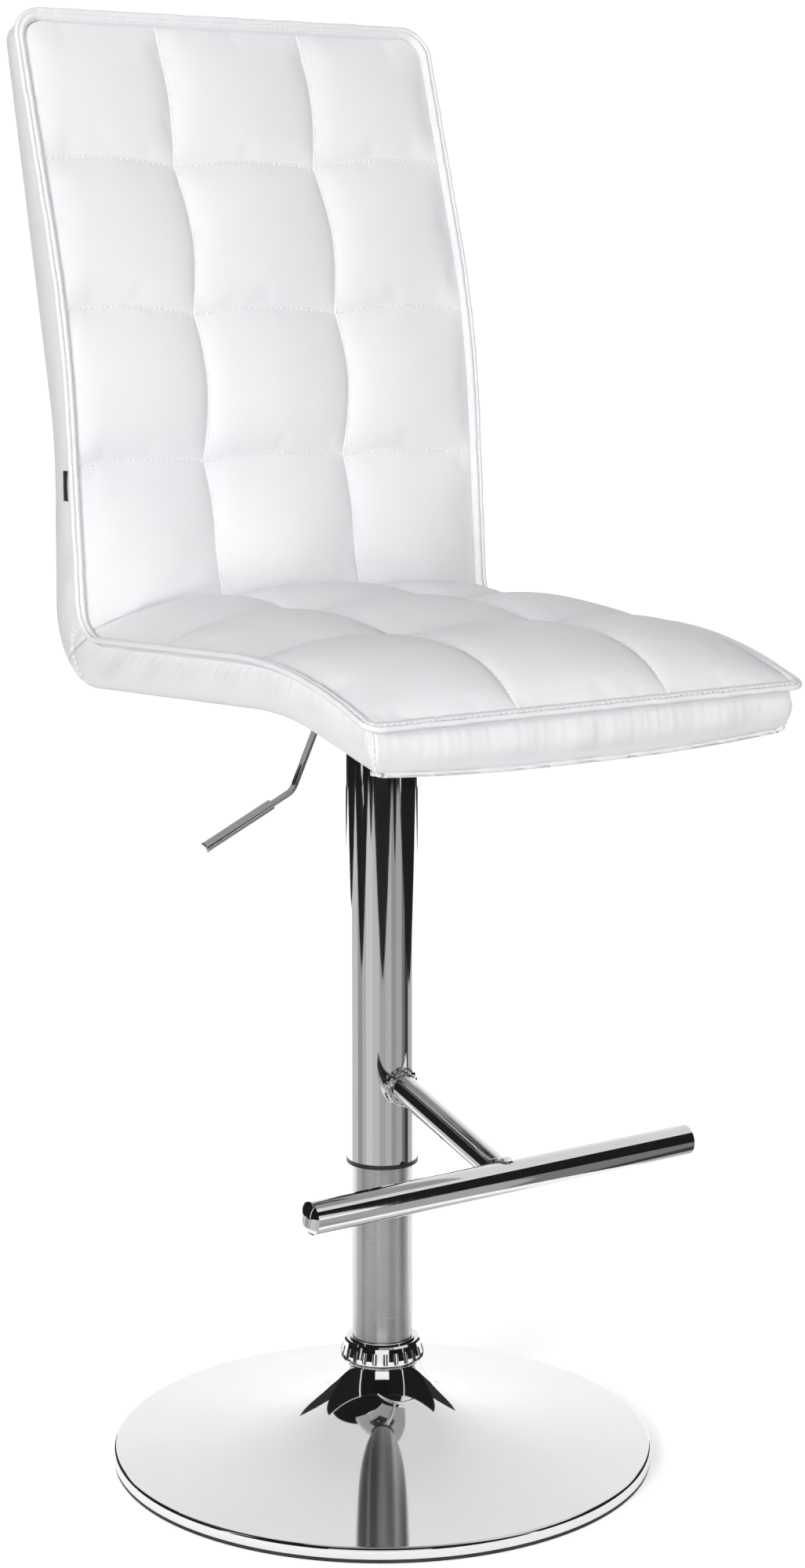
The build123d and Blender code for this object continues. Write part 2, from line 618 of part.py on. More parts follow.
# ---------------------------------------------------------------- every node
def build_nodes():
    border = welt()
    foam = padding()
    skin = rear_skin()
    bands = side_bands()
    ends = end_bands().solids().sort_by(Axis.Z)
    nodes = {
        "base_shell": base_shell(),
        "base_plate": base_plate(),
        "base_gasket": base_gasket(),
        "base_collar": base_collar(),
        "column_tube": column_tube(),
        "guide_bush": guide_bush(),
        "tube_foot": tube_foot(),
        "lower_race": lower_race(),
        "bearing_balls": bearing_balls(),
        "upper_race": upper_race(),
        "piston_rod": piston_rod(),
        "rod_clip": rod_clip(),
        "gas_piston": gas_piston(),
        "piston_seal": piston_seal(),
        "gas_cylinder": gas_cylinder(),
        "cylinder_gland": cylinder_gland(),
        "cylinder_cap": cylinder_cap(),
        "valve_button": valve_button(),
        "outer_sleeve": outer_sleeve(),
        "sleeve_ring": sleeve_ring(),
        "sleeve_cap": sleeve_cap(),
        "footrest_arm": footrest_arm(),
        "footrest_bar": footrest_bar(),
        "bar_cap_left": bar_cap(1),
        "bar_cap_right": bar_cap(-1),
        "arm_weld": arm_weld(),
        "bar_weld": bar_weld(),
        "seat_plate": seat_plate(),
        "seat_hub": seat_hub(),
        "lever_bracket": lever_bracket(),
        "lever_pin": lever_pin(),
        "lever_rod": lever_rod(),
        "lever_grip": lever_grip(),
        "plate_bolts": plate_bolts(),
        "t_nuts": t_nuts(),
        "seat_board": seat_board(),
        "front_band": ends[0],
        "top_band": ends[-1],
        "label_tag": label_tag(),
    }
    for part, back, face in (("seat", False, SEAT_PANEL_FACE), ("back", True, BACK_PANEL_FACE)):
        nodes[f"{part}_foam"] = parted(foam, back)
        nodes[f"quilted_{part}_panel"] = parted(quilted_panel(face), back)
        nodes[f"{part}_welt"] = parted(border, back)
        nodes[f"{part}_cover"] = parted(skin, back)
        for side, left in (("left", True), ("right", False)):
            nodes[f"{part}_side_{side}"] = parted(sides(bands, left), back)
    return nodes


os.makedirs("parts", exist_ok=True)
for name, shape in build_nodes().items():
    if isinstance(shape, list):
        shape = Compound(children=[solid for piece in shape for solid in piece.solids()])
    export_step(shape, f"parts/{name}.step")
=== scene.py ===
import json
import math

import bmesh
import bpy
import numpy as np
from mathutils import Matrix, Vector
from mathutils import noise as hill


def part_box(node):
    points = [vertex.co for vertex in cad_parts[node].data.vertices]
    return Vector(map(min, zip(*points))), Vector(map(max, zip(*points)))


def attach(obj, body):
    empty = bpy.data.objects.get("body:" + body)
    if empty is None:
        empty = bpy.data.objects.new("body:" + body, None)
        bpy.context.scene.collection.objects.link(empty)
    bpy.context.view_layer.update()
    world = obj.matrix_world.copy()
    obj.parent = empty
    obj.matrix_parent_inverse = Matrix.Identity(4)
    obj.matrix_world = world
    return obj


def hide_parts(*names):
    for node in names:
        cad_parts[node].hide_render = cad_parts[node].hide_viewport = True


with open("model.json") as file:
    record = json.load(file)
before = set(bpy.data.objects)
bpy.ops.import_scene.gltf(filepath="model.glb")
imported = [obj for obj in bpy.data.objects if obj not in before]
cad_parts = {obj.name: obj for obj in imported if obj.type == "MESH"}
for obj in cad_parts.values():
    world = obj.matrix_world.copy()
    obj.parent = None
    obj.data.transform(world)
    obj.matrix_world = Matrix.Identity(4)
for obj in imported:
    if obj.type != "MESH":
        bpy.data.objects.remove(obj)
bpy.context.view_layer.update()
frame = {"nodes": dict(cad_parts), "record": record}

MM = 0.001
SEAT = "seat_lift"

# ------------ camera
camera_data = bpy.data.cameras.new("camera")
camera_data.sensor_width = 36
camera_data.lens = 68.58
camera = bpy.data.objects.new("camera", camera_data)
camera.location = (-1.3378, -1.9703, 0.9746)
camera.rotation_euler = (math.radians(80.313), 0, math.radians(-34.58))
bpy.context.scene.collection.objects.link(camera)
bpy.context.scene.camera = camera

# ------------ repeated sums
def run_of(points):
    """The distance travelled to each point of a line."""
    return np.r_[0, np.cumsum(np.linalg.norm(np.diff(points, axis=0), axis=1))]


def sampled(at, steps, points):
    """The points, or directions, found at distances along a line."""
    return np.stack([np.interp(at, steps, column) for column in points.T], -1)


# ------------ side outlines of the seat, (Y, Z) in mm
FRONT_CORNERS = [(227.0, 1187.0), (150.4, 932.6), (132.4, 689.4), (-180.8, 703.0), (-284.0, 665.4)]
FRONT_BENDS = [700.0, 24.0, 420.0]
REAR_CORNERS = [(267.5, 1175.0), (193.5, 838.0), (197.5, 642.0), (-149.6, 659.0), (-273.6, 629.0)]
REAR_BENDS = [300.0, 60.0, 300.0]


class Outline:
    """A bent side outline: places are given by distance along it and depth inside it, in mm."""

    def __init__(self, corners, bends, side):
        corners = [np.array(c) for c in corners]
        path = [corners[0]]
        for before, corner, after, radius in zip(corners, corners[1:], corners[2:], bends):
            first = (corner - before) / np.linalg.norm(corner - before)
            second = (after - corner) / np.linalg.norm(after - corner)
            turn = math.atan2(first[0] * second[1] - first[1] * second[0], first @ second)
            start = corner - first * radius * math.tan(abs(turn) / 2)
            centre = start + math.copysign(radius, turn) * np.array([-first[1], first[0]])
            arm = start - centre
            for angle in np.linspace(0, turn, max(2, int(abs(turn) * radius)) + 1):
                c, s = math.cos(angle), math.sin(angle)
                path.append(centre + np.array([c * arm[0] - s * arm[1], s * arm[0] + c * arm[1]]))
        path = np.array(path + [corners[-1]])
        steps = run_of(path)
        self.length = steps[-1]
        self.at = np.linspace(0, self.length, int(self.length) + 1)
        self.points = sampled(self.at, steps, path)
        along = np.gradient(self.points, self.at, axis=0)
        self.along = along / np.linalg.norm(along, axis=1)[:, None]
        self.side = side

    def direction(self, s):
        """The unit direction of travel at distance s, as (Y, Z)."""
        return sampled(s, self.at, self.along)

    def place(self, u, s, depth):
        """The point in metres at width u, distance s and depth inside the outline."""
        u, s, depth = np.broadcast_arrays(*(np.asarray(a, float) for a in (u, s, depth)))
        on = sampled(s, self.at, self.points)
        t = self.direction(s)
        beyond = (s - np.clip(s, 0, self.length))[..., None]
        inward = np.stack([-t[..., 1], t[..., 0]], -1) * self.side
        yz = on + beyond * t + depth[..., None] * inward
        return np.concatenate([u[..., None], yz], -1) * MM

    def outward(self, nu, ns, s):
        """The 3-D direction of a direction (nu, ns) in the outline's own sheet."""
        t = self.direction(s)
        return np.stack([nu, ns * t[..., 0], ns * t[..., 1]], -1)

    def find(self, axis, value, after=0.0):
        """The first distance past after where the outline crosses that Y (axis 0) or Z (axis 1)."""
        gap = self.points[:, axis] - value
        hits = np.where((gap[:-1] * gap[1:] <= 0) & (self.at[1:] > after))[0]
        return float(self.at[hits[0]])


front = Outline(FRONT_CORNERS, FRONT_BENDS, 1)
rear = Outline(REAR_CORNERS, REAR_BENDS, -1)


# ------------ helpers
def wobble(x, seed, wavelength, octaves=4):
    """A smooth repeatable wander between about -1 and 1 along x."""
    rng = np.random.default_rng(seed)
    total = np.zeros_like(np.asarray(x, float))
    for k in range(octaves):
        stretch = wavelength * rng.uniform(0.45, 1.25)
        total += np.sin(2 * math.pi * np.asarray(x) / stretch + rng.uniform(0, 2 * math.pi))
    return total / octaves


def ramp(x, low, high):
    """0 below low, 1 above high and smooth between them."""
    t = np.clip((np.asarray(x, float) - low) / (high - low), 0, 1)
    return t * t * (3 - 2 * t)


def mesh_object(name, vertices, faces):
    mesh = bpy.data.meshes.new(name)
    mesh.from_pydata(np.asarray(vertices).reshape(-1, 3).tolist(), [], faces)
    mesh.polygons.foreach_set("use_smooth", [True] * len(mesh.polygons))
    mesh.update()
    obj = bpy.data.objects.new(name, mesh)
    bpy.context.scene.collection.objects.link(obj)
    return obj


def grid_faces(rows, columns, wrap_rows=False, wrap_columns=False, start=0):
    """Quads of a grid of rows x columns vertices, joined end to end where it wraps."""
    faces = []
    for i in range(rows if wrap_rows else rows - 1):
        for j in range(columns if wrap_columns else columns - 1):
            a, b = (i + 1) % rows * columns, (j + 1) % columns
            faces.append(tuple(start + k for k in (i * columns + j, i * columns + b, a + b, a + j)))
    return faces


def vertex_array(obj, kind="co"):
    """The vertices' positions or normals, one row each."""
    values = np.zeros(len(obj.data.vertices) * 3)
    obj.data.vertices.foreach_get(kind, values)
    return values.reshape(-1, 3)


def settle(obj):
    """Applies the piece's modifiers to its mesh."""
    depsgraph = bpy.context.evaluated_depsgraph_get()
    mesh = bpy.data.meshes.new_from_object(obj.evaluated_get(depsgraph))
    obj.modifiers.clear()
    obj.data = mesh
    obj.data.name = obj.name
    return obj


def thicken(obj, thickness):
    """Gives a sheet its material's thickness, inwards."""
    solid = obj.modifiers.new("thickness", "SOLIDIFY")
    solid.thickness = thickness * MM
    solid.offset = -1
    return settle(obj)


def weld_seams(obj, gap=0.05):
    work = bmesh.new()
    work.from_mesh(obj.data)
    bmesh.ops.remove_doubles(work, verts=work.verts, dist=gap * MM)
    bmesh.ops.recalc_face_normals(work, faces=work.faces)
    work.to_mesh(obj.data)
    work.free()
    return obj


# The cloth that the quilted cover is made of, and how it swells over its padding.
CLOTH_MASS = 0.15
CLOTH_STRETCH = 12
CLOTH_SHEAR = 6
CLOTH_BENDING = 4.0
CLOTH_SLACK = -0.004
CLOTH_PRESSURE = 4.0
CLOTH_CAP = 5.0


def inflate(obj, pinned, pressure, cap, frames=20):
    """Swells a sheet between its pinned vertices as padded cloth, by at most cap mm."""
    start = vertex_array(obj)
    group = obj.vertex_groups.new(name="sewn")
    group.add([int(i) for i in pinned], 1.0, "REPLACE")
    cloth = obj.modifiers.new("padding", "CLOTH")
    settings = cloth.settings
    settings.vertex_group_mass = "sewn"
    settings.quality = 6
    settings.mass = CLOTH_MASS
    settings.tension_stiffness = CLOTH_STRETCH
    settings.compression_stiffness = CLOTH_STRETCH
    settings.shear_stiffness = CLOTH_SHEAR
    settings.bending_stiffness = CLOTH_BENDING
    settings.use_pressure = True
    settings.uniform_pressure_force = pressure
    settings.shrink_min = CLOTH_SLACK
    settings.effector_weights.gravity = 0
    cloth.point_cache.frame_start = 1
    cloth.point_cache.frame_end = frames
    for number in range(1, frames + 1):
        bpy.context.scene.frame_set(number)
    settle(obj)
    bpy.context.scene.frame_set(1)
    shift = vertex_array(obj) - start
    size = np.linalg.norm(shift, axis=1)
    limit = cap * MM
    eased = limit * np.tanh(size / limit)
    shift *= (eased / np.maximum(size, 1e-9))[:, None]
    obj.data.vertices.foreach_set("co", (start + shift).ravel())
    obj.data.update()
    obj.vertex_groups.clear()


# ------------ materials
def new_material(name):
    material = bpy.data.materials.new(name)
    material.use_nodes = True
    nodes = material.node_tree.nodes
    shader = nodes["Principled BSDF"]
    return material, nodes, material.node_tree.links, shader


def coordinates(nodes, links, stretch=(1, 1, 1)):
    """Object coordinates, stretched along each axis."""
    source = nodes.new("ShaderNodeTexCoord")
    mapping = nodes.new("ShaderNodeMapping")
    mapping.inputs["Scale"].default_value = stretch
    links.new(source.outputs["Object"], mapping.inputs["Vector"])
    return mapping.outputs["Vector"]


def noise(nodes, links, vector, scale, detail=3.0, roughness=0.5):
    texture = nodes.new("ShaderNodeTexNoise")
    texture.inputs["Scale"].default_value = scale
    texture.inputs["Detail"].default_value = detail
    texture.inputs["Roughness"].default_value = roughness
    links.new(vector, texture.inputs["Vector"])
    return texture.outputs["Fac"]


def mapped(nodes, links, value, low, high, from_low=0.0, from_high=1.0):
    """A value carried from one range to another."""
    node = nodes.new("ShaderNodeMapRange")
    node.inputs["From Min"].default_value = from_low
    node.inputs["From Max"].default_value = from_high
    node.inputs["To Min"].default_value = low
    node.inputs["To Max"].default_value = high
    links.new(value, node.inputs["Value"])
    return node.outputs["Result"]


def tinted(nodes, links, value, first, second):
    """A colour between first and second, as value goes from 0 to 1."""
    node = nodes.new("ShaderNodeMix")
    node.data_type = "RGBA"
    node.inputs["A"].default_value = (*first, 1)
    node.inputs["B"].default_value = (*second, 1)
    links.new(value, node.inputs["Factor"])
    return node.outputs["Result"]


def raised(nodes, links, shader, heights):
    """Bumps from (height, strength, depth in mm) layers, one on top of the other."""
    normal = None
    for height, strength, depth in heights:
        bump = nodes.new("ShaderNodeBump")
        bump.inputs["Strength"].default_value = strength
        bump.inputs["Distance"].default_value = depth * MM
        links.new(height, bump.inputs["Height"])
        if normal is not None:
            links.new(normal, bump.inputs["Normal"])
        normal = bump.outputs["Normal"]
    links.new(normal, shader.inputs["Normal"])


def spread(nodes, links, value, low, high):
    """A noise carried to a range, using the middle of its scale, which it mostly fills."""
    return mapped(nodes, links, value, low, high, 0.3, 0.7)


def paint(nodes, links, shader, value, first, second):
    """A base colour between first and second, as value goes from 0 to 1."""
    links.new(tinted(nodes, links, value, first, second), shader.inputs["Base Color"])


def plain_material(name, dark, light, roughness, metallic=0.0, grain=400.0, bump=(0.2, 0.05)):
    """A finish with mottled colour, uneven gloss and a fine grain."""
    material, nodes, links, shader = new_material(name)
    vector = coordinates(nodes, links)
    broad = noise(nodes, links, vector, 28.0, 4.0)
    fine = noise(nodes, links, vector, grain, 3.0, 0.6)
    shader.inputs["Metallic"].default_value = metallic
    paint(nodes, links, shader, spread(nodes, links, broad, 0, 1), dark, light)
    links.new(spread(nodes, links, fine, *roughness), shader.inputs["Roughness"])
    raised(nodes, links, shader, [(fine, bump[0], bump[1])])
    return material


def leatherette_material():
    """White coated fabric with a fine pebbled grain and soft creases."""
    material, nodes, links, shader = new_material("white_leatherette")
    vector = coordinates(nodes, links)
    pebble = nodes.new("ShaderNodeTexVoronoi")
    pebble.feature = "SMOOTH_F1"
    pebble.inputs["Scale"].default_value = 820.0
    pebble.inputs["Smoothness"].default_value = 0.6
    links.new(vector, pebble.inputs["Vector"])
    crease = noise(nodes, links, vector, 46.0, 6.0, 0.62)
    broad = noise(nodes, links, vector, 9.0, 3.0)
    tone = spread(nodes, links, broad, 0, 1)
    paint(nodes, links, shader, tone, (0.835, 0.838, 0.855), (0.875, 0.876, 0.885))
    links.new(spread(nodes, links, crease, 0.36, 0.5), shader.inputs["Roughness"])
    shader.inputs["Specular IOR Level"].default_value = 0.42
    raised(nodes, links, shader, [(crease, 0.12, 0.9), (pebble.outputs["Distance"], 0.22, 0.16)])
    return material


def thread_material():
    """White twisted polyester thread."""
    material, nodes, links, shader = new_material("white_thread")
    vector = coordinates(nodes, links)
    twist = noise(nodes, links, vector, 1900.0, 2.0)
    paint(nodes, links, shader, twist, (0.86, 0.86, 0.87), (0.96,) * 3)
    links.new(mapped(nodes, links, twist, 0.45, 0.6), shader.inputs["Roughness"])
    raised(nodes, links, shader, [(twist, 0.4, 0.1)])
    return material


def chrome_material():
    """Polished chrome plating with faint wipe marks."""
    material, nodes, links, shader = new_material("polished_chrome")
    vector = coordinates(nodes, links)
    haze = noise(nodes, links, vector, 14.0, 5.0, 0.6)
    wipe = noise(nodes, links, coordinates(nodes, links, (60, 60, 4)), 20.0, 3.0)
    shader.inputs["Metallic"].default_value = 1.0
    paint(nodes, links, shader, haze, (0.77, 0.775, 0.78), (0.84,) * 3)
    links.new(spread(nodes, links, wipe, 0.025, 0.075), shader.inputs["Roughness"])
    raised(nodes, links, shader, [(haze, 0.02, 0.2)])
    return material


def brushed_material():
    """Satin column steel, brushed round the tube."""
    material, nodes, links, shader = new_material("brushed_steel")
    lines = noise(nodes, links, coordinates(nodes, links, (2, 2, 260)), 8.0, 4.0, 0.7)
    broad = noise(nodes, links, coordinates(nodes, links), 12.0, 3.0)
    shader.inputs["Metallic"].default_value = 1.0
    shader.inputs["Anisotropic"].default_value = 0.9
    shader.inputs["Anisotropic Rotation"].default_value = 0.25
    paint(nodes, links, shader, broad, (0.66, 0.665, 0.67), (0.76, 0.76, 0.765))
    links.new(spread(nodes, links, lines, 0.26, 0.4), shader.inputs["Roughness"])
    raised(nodes, links, shader, [(lines, 0.06, 0.05)])
    return material


def plywood_material():
    """Bent beech plywood."""
    material, nodes, links, shader = new_material("plywood")
    grain = noise(nodes, links, coordinates(nodes, links, (90, 4, 4)), 3.0, 6.0, 0.65)
    paint(nodes, links, shader, grain, (0.42, 0.27, 0.15), (0.68, 0.5, 0.32))
    links.new(mapped(nodes, links, grain, 0.5, 0.7), shader.inputs["Roughness"])
    raised(nodes, links, shader, [(grain, 0.3, 0.2)])
    return material


def ribbon_material():
    """Black woven ribbon."""
    material, nodes, links, shader = new_material("tag_ribbon")
    vector = coordinates(nodes, links)
    weave = nodes.new("ShaderNodeTexWave")
    weave.bands_direction = "Z"
    weave.inputs["Scale"].default_value = 420.0
    weave.inputs["Distortion"].default_value = 0.6
    links.new(vector, weave.inputs["Vector"])
    threads = weave.outputs["Fac"]
    paint(nodes, links, shader, threads, (0.008, 0.008, 0.009), (0.03, 0.03, 0.033))
    links.new(mapped(nodes, links, threads, 0.55, 0.75), shader.inputs["Roughness"])
    raised(nodes, links, shader, [(threads, 0.5, 0.15)])
    return material


THREAD = thread_material()
# Dark and light colour and roughness range, then metallic, grain and bump.
PLAIN_FINISHES = {
    "black_rubber": ((0.012,) * 3, (0.028,) * 3, (0.55, 0.75), 0.0, 700),
    "black_plastic": ((0.014, 0.014, 0.015), (0.025, 0.025, 0.026), (0.3, 0.45), 0.0, 900),
    "natural_nylon": ((0.72, 0.71, 0.66), (0.82, 0.81, 0.77), (0.35, 0.5)),
    "raw_steel": ((0.026, 0.026, 0.028), (0.05, 0.05, 0.052), (0.34, 0.5), 0.0, 900),
    "ground_steel": ((0.55, 0.55, 0.56), (0.66,) * 3, (0.18, 0.28), 1.0, 900),
    "zinc_plate": ((0.55, 0.56, 0.58), (0.72, 0.71, 0.66), (0.25, 0.4), 1.0, 300),
    "seal_rubber": ((0.015,) * 3, (0.03,) * 3, (0.5, 0.65)),
    "foam": ((0.72, 0.68, 0.5), (0.82, 0.79, 0.62), (0.85, 0.95), 0.0, 1200, (0.6, 0.5)),
}
MATERIALS = {
    "polished_chrome": chrome_material(),
    "brushed_steel": brushed_material(),
    "plywood": plywood_material(),
    "white_leatherette": leatherette_material(),
    "tag_ribbon": ribbon_material(),
    **{name: plain_material(name, *finish) for name, finish in PLAIN_FINISHES.items()},
}
node_slots = {part["node"]: part["material_slot"] for part in frame["record"]["subparts"]}


def finish_piece(obj, slot, *replaced, material=None, body=SEAT, fill=None):
    """Paints a piece, hides the CAD nodes it stands for and hangs it on the body that carries it.
    """
    obj.data.materials.clear()
    obj.data.materials.append(material or MATERIALS[slot])
    if replaced:
        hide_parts(*replaced)
    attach(obj, body)
    return obj


# ------------ quilted panels
GROOVE = 10.0
HALF_WIDTH = 203.4
PANEL_HALF = HALF_WIDTH - GROOVE
TOP_CORNER = 28.0
FRONT_CORNER = 14.0
CELL = 5.0
# How far below the outline the back's seams run, and where the back's line stops.
BACK_DEPTH = 8.0
BACK_END = 452.0
# From this share of the half width outwards, the columns follow the rounded corners.
CORNER_REACH = 0.36
SEAM_CREASE = 0.9
PANEL_THICKNESS = 2.0
COVER_THICKNESS = 1.6
# How much flatter the border is at the front of the seat.
FRONT_FLATTENING = 0.72
COLUMN_STOPS = [-PANEL_HALF, -69.3, 69.3, PANEL_HALF]
PANEL_END = front.length - GROOVE
junction = (front.find(1, 712.0, 400.0) + front.find(0, 110.0, 400.0)) / 2

# The line that the sewn seams follow down the middle of the back and along the seat, (Y, Z).
SEAT_LINE = [
    (130, 710.5), (112, 713), (70, 711.5), (22, 709.5), (-50, 708.5), (-120, 706.5),
    (-160, 705), (-196, 702.5), (-231, 694.5), (-257, 682.5),
]
ROW_AT = [123.0, 247.5, 371.0]
SEAT_ROWS = [22.0, -120.0]
BACK_CELLS = len(ROW_AT) + 1

# One value for each row seam, from the top edge to the front edge.
KNOT_DEPTH = [0, 3.0, 3.5, 3.0, 0, 6.0, 5.0, 0]
ROW_DEPTH = [0, 0, 0, 0, 0, -1.0, -1.0, 0]
ROW_SHIFT = [(0,) * 4, (1, 4.5, 3, -4), (1, 4, 4, 2), (3, 2.5, 1.5, 5), *[(0,) * 4] * 4]
ROW_BOW = [0, -4.5, -5.0, -4.0, 0, -2.0, -2.0, 0]
COLUMN_SHIFT = [(0, -0.5, -2.5, -3.5, 0, 7, 2, 1, 0), (0, -2.5, -3.0, -5.0, -2.5, 5, 3, 2, 2)]
COLUMN_BOW = [(3.5, 6, 5.5, 4.5, 1.5, 1.5, 1.5), (5.5, 6, 6.5, 4.5, 1.5, 1.5, 1.5)]
CROWNS = [6.0, 6.5, 6.5, 6.0, 9.0, 9.0, 7.5]


def between(values, index, share):
    """The value at a share of the way from one entry of a list to the next."""
    return values[index] + (values[index + 1] - values[index]) * share


def divided(stops, step):
    """Even steps between each pair of stops, with the index and the share of the way for each."""
    cells, shares = [0], [0.0]
    for k, (a, b) in enumerate(zip(stops, stops[1:])):
        count = max(2, round((b - a) / step))
        cells += [k] * count
        even = np.arange(1, count + 1) / count
        shares += list(0.62 * even + 0.19 * (1 - np.cos(math.pi * even)))
    return np.array(cells), np.array(shares)


def smoothed(points, window=31):
    """Points every millimetre along a polyline, rounded off but keeping its two ends."""
    points = np.array(points, float)
    steps = run_of(points)
    line = sampled(np.linspace(0, steps[-1], int(steps[-1]) + 1), steps, points)
    half = window // 2
    before = 2 * line[0] - line[half:0:-1]
    after = 2 * line[-1] - line[-2 : -half - 2 : -1]
    padded = np.vstack([before, line, after])
    kernel = np.ones(window) / window
    return np.stack([np.convolve(padded[:, k], kernel, "valid") for k in (0, 1)], 1)


def nearness_to_front(s):
    """0 along the back and most of the seat, rising to 1 at the seat's front edge."""
    return ramp(s, front.length - 70, front.length - 12)


def border_depth(s):
    """How far the groove inside the welt lies below the welt's face."""
    return 4.8 - 3.4 * nearness_to_front(s)


def flat(points):
    return points[..., 1:] / MM


row_stops = [GROOVE, *ROW_AT, junction, *(front.find(0, y, junction) for y in SEAT_ROWS), PANEL_END]
row_cell, row_share = divided(row_stops, CELL)
col_cell, col_share = divided(COLUMN_STOPS, CELL)
rows, cols = len(row_cell), len(col_cell)
row_at = np.array([between(row_stops, c, f) for c, f in zip(row_cell, row_share)])
col_at = np.array([between(COLUMN_STOPS, c, f) for c, f in zip(col_cell, col_share)])
is_row_seam = (row_share == 1) | (np.arange(rows) == 0)
is_col_seam = (col_share == 1) | (np.arange(cols) == 0)
edge_line = flat(front.place(0, row_at, border_depth(row_at)))

back_s = np.arange(GROOVE, BACK_END)
back_line = smoothed([*flat(front.place(0, back_s, BACK_DEPTH)), SEAT_LINE[0]])
seat_line = smoothed([*SEAT_LINE, edge_line[-1]])
split_row = int(np.where(is_row_seam)[0][BACK_CELLS])


def along_line(line, stops, cells, shares):
    """Places and directions of travel on a line at shares of the way between its stops."""
    at = np.array([between(stops, c, f) for c, f in zip(cells, shares)])
    index = np.arange(len(line))
    heading = np.gradient(line, axis=0)
    travel = sampled(at, index, heading)
    return sampled(at, index, line), travel / np.linalg.norm(travel, axis=1)[:, None]


back_stops = [0]
for s in ROW_AT:
    seam = flat(front.place(0, s, BACK_DEPTH))
    back_stops.append(int(np.argmin(np.linalg.norm(back_line - seam, axis=1))))
back_stops.append(len(back_line) - 1)
seat_seams = [int(np.argmin(np.abs(seat_line[:, 0] - y))) for y in SEAT_ROWS]
seat_stops = [0, *seat_seams, len(seat_line) - 1]
on_back = np.arange(rows) <= split_row
middle_b, travel_b = along_line(back_line, back_stops, row_cell[on_back], row_share[on_back])
on_seat = ~on_back
middle_s, travel_s = along_line(
    seat_line, seat_stops, row_cell[on_seat] - BACK_CELLS, row_share[on_seat]
)
middle_line = np.vstack([middle_b, middle_s])
travel = np.vstack([travel_b, travel_s])
travel[split_row] = travel[split_row] + travel[split_row + 1]
travel /= np.linalg.norm(travel, axis=1)[:, None]
inward = np.stack([-travel[:, 1], travel[:, 0]], 1)


def bow(share):
    """0 at both ends of a seam's span and 1 in the middle, with a cusp at the ends."""
    return 1 - np.abs(2 * share - 1) ** 1.7


def is_border(row, column):
    return row in (0, len(row_stops) - 1) or column in (0, len(COLUMN_STOPS) - 1)


def seam_depth(start, end, middle, share):
    edge = start + (end - start) * share
    return middle + (edge - middle) * (1 - bow(share))


def quilt_depth(row, column, a, b):
    """How far the sewn cover lies below the seams' own line, in one cell."""
    knots = [
        [0 if is_border(row + p, column + q) else KNOT_DEPTH[row + p] for q in (0, 1)]
        for p in (0, 1)
    ]
    over = seam_depth(knots[0][0], knots[0][1], ROW_DEPTH[row], b)
    under = seam_depth(knots[1][0], knots[1][1], ROW_DEPTH[row + 1], b)
    first = seam_depth(knots[0][0], knots[1][0], 0, a)
    second = seam_depth(knots[0][1], knots[1][1], 0, a)
    blend = (1 - a) * over + a * under + (1 - b) * first + b * second
    blend -= (1 - a) * between(knots[0], 0, b) + a * between(knots[1], 0, b)
    dome = (16 * a * (1 - a) * b * (1 - b)) ** 0.5
    return blend - CROWNS[row] * dome


def quilted_sheet():
    """Points of the whole sewn cover, rows from the top of the back to the front of the seat."""
    sheet = np.zeros((rows, cols, 3))
    for i in range(rows):
        row, a = row_cell[i], row_share[i]
        corner = 0.0
        ends = ((row_at[i] - GROOVE, TOP_CORNER), (PANEL_END - row_at[i], FRONT_CORNER))
        for gap, outer_radius in ends:
            radius = outer_radius - GROOVE
            inside = np.clip(radius - gap, 0, radius)
            corner = max(corner, radius - math.sqrt(radius**2 - inside**2))
        for j in range(cols):
            column, b, u = col_cell[j], col_share[j], col_at[j]
            share = abs(u) / PANEL_HALF
            middle = 1 - share**4
            shifts = []
            for values, bows in zip(COLUMN_SHIFT, COLUMN_BOW):
                shifts.append(between(values, row, a) + bows[row] * bow(a))
            shifts = [0, *shifts, 0]
            across = between(shifts, column, b)
            lines = []
            for k in (row, row + 1):
                lines.append(between(ROW_SHIFT[k], column, b) + ROW_BOW[k] * bow(b))
            down = lines[0] + (lines[1] - lines[0]) * a
            depth = quilt_depth(row, column, a, b)
            on_line = edge_line[i] + (middle_line[i] - edge_line[i]) * middle
            yz = on_line + travel[i] * down + inward[i] * depth
            pulled = corner * max(0, share - CORNER_REACH) / (1 - CORNER_REACH)
            width = u + across - math.copysign(pulled, u)
            sheet[i, j] = (width, *yz)
    return sheet * MM


def upright(faces):
    return [face[::-1] for face in faces]


sheet = quilted_sheet()
pinned = np.flatnonzero(is_row_seam[:, None] | is_col_seam)
quilt = mesh_object("quilt", sheet, upright(grid_faces(rows, cols)))
inflate(quilt, pinned, CLOTH_PRESSURE, CLOTH_CAP)
sheet = vertex_array(quilt).reshape(rows, cols, 3)
bpy.data.objects.remove(quilt)


